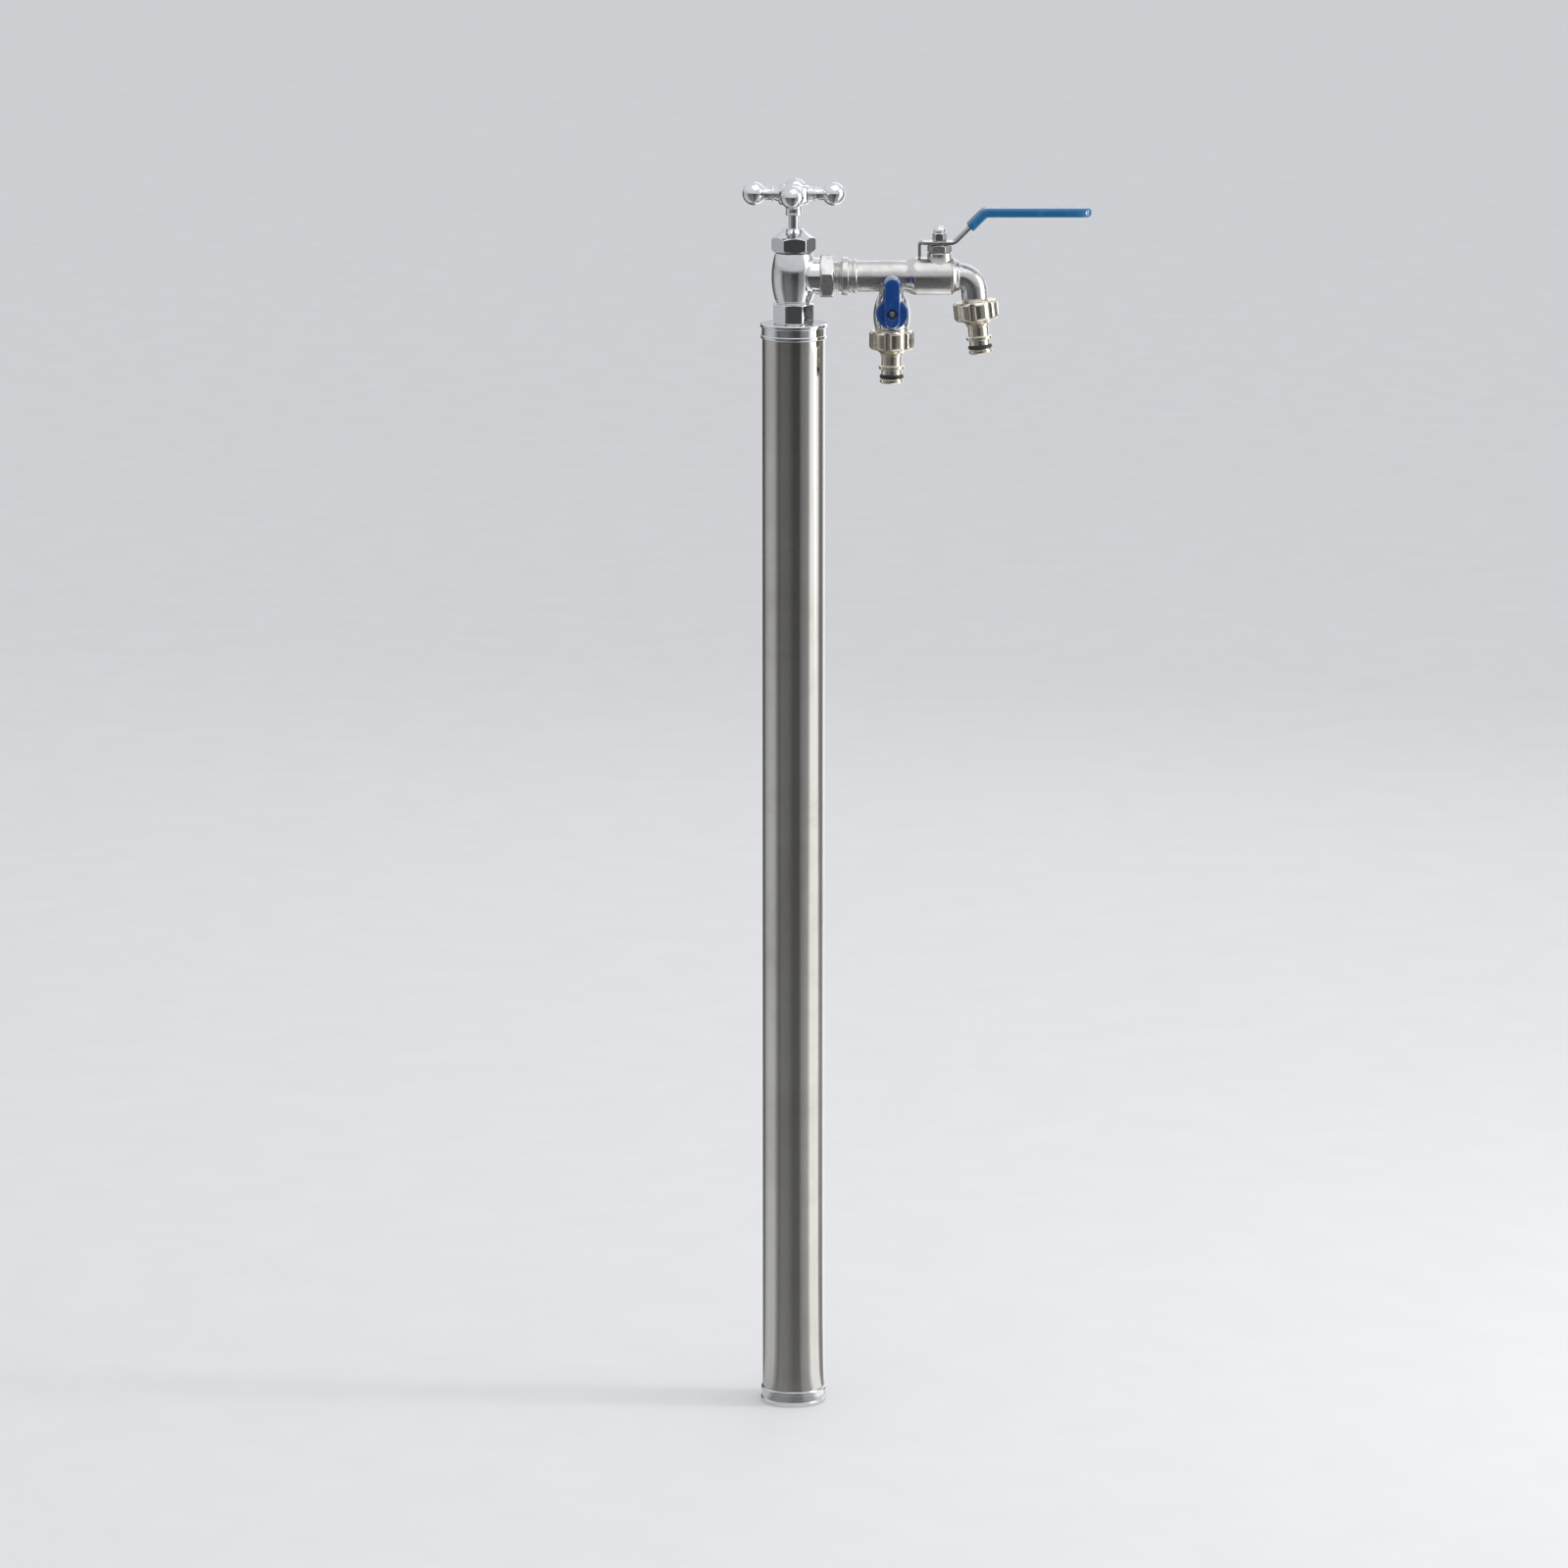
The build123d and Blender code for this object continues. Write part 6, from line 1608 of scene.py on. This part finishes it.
@dataclass(frozen=True)
class Studio:
    """Pale floor, distant pale wall, soft lamps, cards that paint reflections into the metal, and the
    camera.

    Lengths are in metres. An azimuth goes round the post in degrees: 0 is towards the camera and
    90 to its right. A card's rows are each a radius, a height and how much of its density is left.
    """

    floor_rings: tuple[float, ...] = (0.02, 0.2, 0.6, 1.5, 4.0, 12.0)
    floor_radius: float = 60.0
    floor_columns: int = 96
    cove: float = 6.0
    wall_height: float = 8.0
    aim: Triple = (0.0, 0.0, 0.75)
    card_columns: int = 180
    card_rows: tuple[Triple, ...] = (
        (0.03, 0.002, 0.8), (0.1, 0.004, 0.88), (0.4, 0.008, 0.92), (0.8, 0.015, 0.92),
        (1.4, 0.05, 0.93), (1.9, 0.2, 0.94), (2.2, 0.45, 0.96), (2.35, 0.66, 1.0),
        (2.42, 0.82, 1.0), (2.46, 0.95, 1.0), (2.48, 1.07, 0.85), (2.49, 1.16, 0.0),
    )
    camera_place: Triple = (0.01857, -5.3, 1.5164)
    camera_pitch: float = 10.732
    camera_turn: float = 0.2848
    focal_pixels: float = 6846.0
    frame_pixels: float = 1600.0
    sensor: float = 36.0

    def build(self) -> None:
        """Makes everything and sets the view transform."""
        bpy.context.scene.view_settings.view_transform = "Standard"
        self.world()
        self.floor()
        self.lamps()
        for card in CARDS:
            self.hang(card)
        self.camera()

    def around(self, azimuth: float, distance: float, height: float) -> Vector:
        """Returns a point at an azimuth, a distance from the post's axis and a height."""
        turn = math.radians(azimuth)
        return Vector((math.sin(turn) * distance, -math.cos(turn) * distance, height))

    def world(self) -> None:
        """Sky of the studio: pale at the horizon and a little brighter overhead."""
        world = bpy.data.worlds.new("studio_air")
        bpy.context.scene.world = world
        world.use_nodes = True
        nodes = Nodes(world.node_tree)
        direction = nodes.add("ShaderNodeTexCoord").outputs["Generated"]
        upward = nodes.add("ShaderNodeSeparateXYZ", {0: direction}).outputs[2]
        colour = nodes.blend(nodes.ramp(upward, -0.02, 0.7), (0.70, 0.705, 0.72), (0.93, 0.945, 1.0))
        back = nodes.add("ShaderNodeBackground", {"Color": colour, "Strength": 0.86})
        nodes.add("ShaderNodeOutputWorld", {"Surface": back.outputs[0]})

    def lay(self, name: str, radius: Array, height: Array, columns: int,
            material: bpy.types.Material, filled: bool = False) -> bpy.types.Object:
        """Turns rows round the post into a surface that is open above.

        Args:
            name: Its name.
            radius: Radius of each row.
            height: Height of each row.
            columns: Steps round the post, the first of them behind it.
            material: Its material.
            filled: Whether one flat face closes the first row.

        Returns:
            The linked object.
        """
        rows = len(radius)
        azimuth = np.linspace(-180.0, 180.0, columns, endpoint=False)
        spread = [np.broadcast_to(values[:, None], (rows, columns)) for values in (radius, height)]
        grid = turned_grid(*spread, np.radians(azimuth - 90.0))
        faces = row_quads(rows, columns, wrapped=False).tolist()
        if filled:
            faces.insert(0, list(range(columns)))
        mesh = bpy.data.meshes.new(name)
        mesh.from_pydata(grid.reshape(-1, 3).tolist(), [], faces)
        mesh.shade_smooth()
        mesh.materials.append(material)
        thing = bpy.data.objects.new(name, mesh)
        bpy.context.scene.collection.objects.link(thing)
        return thing

    def floor(self) -> None:
        """Lays a wide disc that turns up, by a quarter circle, into a distant wall."""
        material, nodes, shader = matte("studio_floor")
        cloud = nodes.ramp(nodes.noise(nodes.here(), 14.0, 4.0), 0.3, 0.7)
        colour = nodes.blend(cloud, (0.785, 0.785, 0.775), (0.80, 0.80, 0.795))
        nodes.tree.links.new(colour, shader.inputs["Base Color"])
        turn = np.linspace(0.0, math.pi / 2, 11)
        flat = np.array(self.floor_rings)
        out = self.floor_radius - self.cove + self.cove * np.sin(turn)
        radius = np.concatenate([flat, out, [self.floor_radius]])
        height = np.concatenate([0 * flat, self.cove * (1 - np.cos(turn)), [self.wall_height]])
        self.lay("studio_floor", radius, height, self.floor_columns, material, filled=True)

    def lamp(self, name: str, place: Vector, size: Pair, radiance: float) -> None:
        """Makes a soft rectangular lamp that faces the valves.

        Args:
            name: The lamp's name.
            place: Where it hangs, in metres.
            size: Width and height in metres.
            radiance: Its brightness, where 1 is a white surface's.
        """
        light = bpy.data.lights.new(name, "AREA")
        light.shape = "RECTANGLE"
        light.size, light.size_y = size
        light.energy = radiance * math.pi * size[0] * size[1]
        thing = bpy.data.objects.new(name, light)
        thing.location = place
        thing.rotation_mode = "QUATERNION"
        thing.rotation_quaternion = (Vector(self.aim) - place).to_track_quat("-Z", "Y")
        thing.visible_camera = False
        bpy.context.scene.collection.objects.link(thing)

    def lamps(self) -> None:
        """A wide key and a narrow strip on the right, a wide lamp overhead and one behind."""
        self.lamp("key_lamp", self.around(84.0, 2.2, 1.25), (1.5, 2.0), 1.05)
        self.lamp("strip_lamp", self.around(86.0, 2.0, 1.2), (0.25, 2.0), 7.0)
        self.lamp("top_lamp", Vector((0.5, -0.6, 3.0)), (2.6, 2.2), 0.5)
        self.lamp("back_lamp", self.around(165.0, 2.8, 1.8), (1.6, 1.0), 1.1)

    def hang(self, card: Card) -> None:
        """Hangs a card round the post, which shows only as a painted reflection in the metal.

        Its density is the row's fade times the share at the column's azimuth, between those given.
        """
        radius, height, fade = np.array(self.card_rows).T
        material, nodes, shader = matte(card.name)
        read = nodes.add("ShaderNodeAttribute", attribute_name="card_share").outputs["Fac"]
        nodes.tree.links.new(read, shader.inputs["Alpha"])
        shader.inputs["Base Color"].default_value = (*card.colour, 1.0)
        shader.inputs["Emission Color"].default_value = (1.0, 1.0, 1.0, 1.0)
        shader.inputs["Emission Strength"].default_value = card.glow
        thing = self.lay(card.name, radius, height + card.lift, self.card_columns, material)
        azimuth = np.linspace(-180.0, 180.0, self.card_columns, endpoint=False)
        density = fade[:, None] * np.interp(azimuth, *np.array(card.shares).T)
        layer = thing.data.attributes.new("card_share", "FLOAT", "POINT")
        layer.data.foreach_set("value", density.ravel().astype(np.float32))
        # Hidden from the camera, from diffuse light and from shadows, the card is only a painted reflection
        # in glossy surfaces.
        thing.visible_camera = thing.visible_diffuse = thing.visible_shadow = False
        thing.visible_transmission = thing.visible_volume_scatter = False

    def camera(self) -> None:
        """Sets the camera where the photograph's was, level from side to side."""
        data = bpy.data.cameras.new("photo_camera")
        data.sensor_fit = "HORIZONTAL"
        data.sensor_width = self.sensor
        data.lens = self.focal_pixels / self.frame_pixels * self.sensor
        thing = bpy.data.objects.new("photo_camera", data)
        thing.location = self.camera_place
        thing.rotation_euler = (math.radians(90.0 - self.camera_pitch), 0.0, math.radians(self.camera_turn))
        bpy.context.scene.collection.objects.link(thing)
        bpy.context.scene.camera = thing


def main() -> None:
    """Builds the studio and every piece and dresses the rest."""
    logging.basicConfig(level=logging.INFO, format="%(name)s: %(message)s")
    Studio().build()
    shop = Workshop()
    Post(shop).build()
    StopValve(shop).build()
    CrossHandle(shop).build()
    manifold = Manifold(shop)
    manifold.build()
    Lever(shop).build()
    front = FrontValve(shop)
    front.build()
    HoseConnector(shop, "end", manifold.outlet()).build()
    HoseConnector(shop, "front", front.outlet()).build()
    shop.dress()


if __name__ == "__main__":
    main()
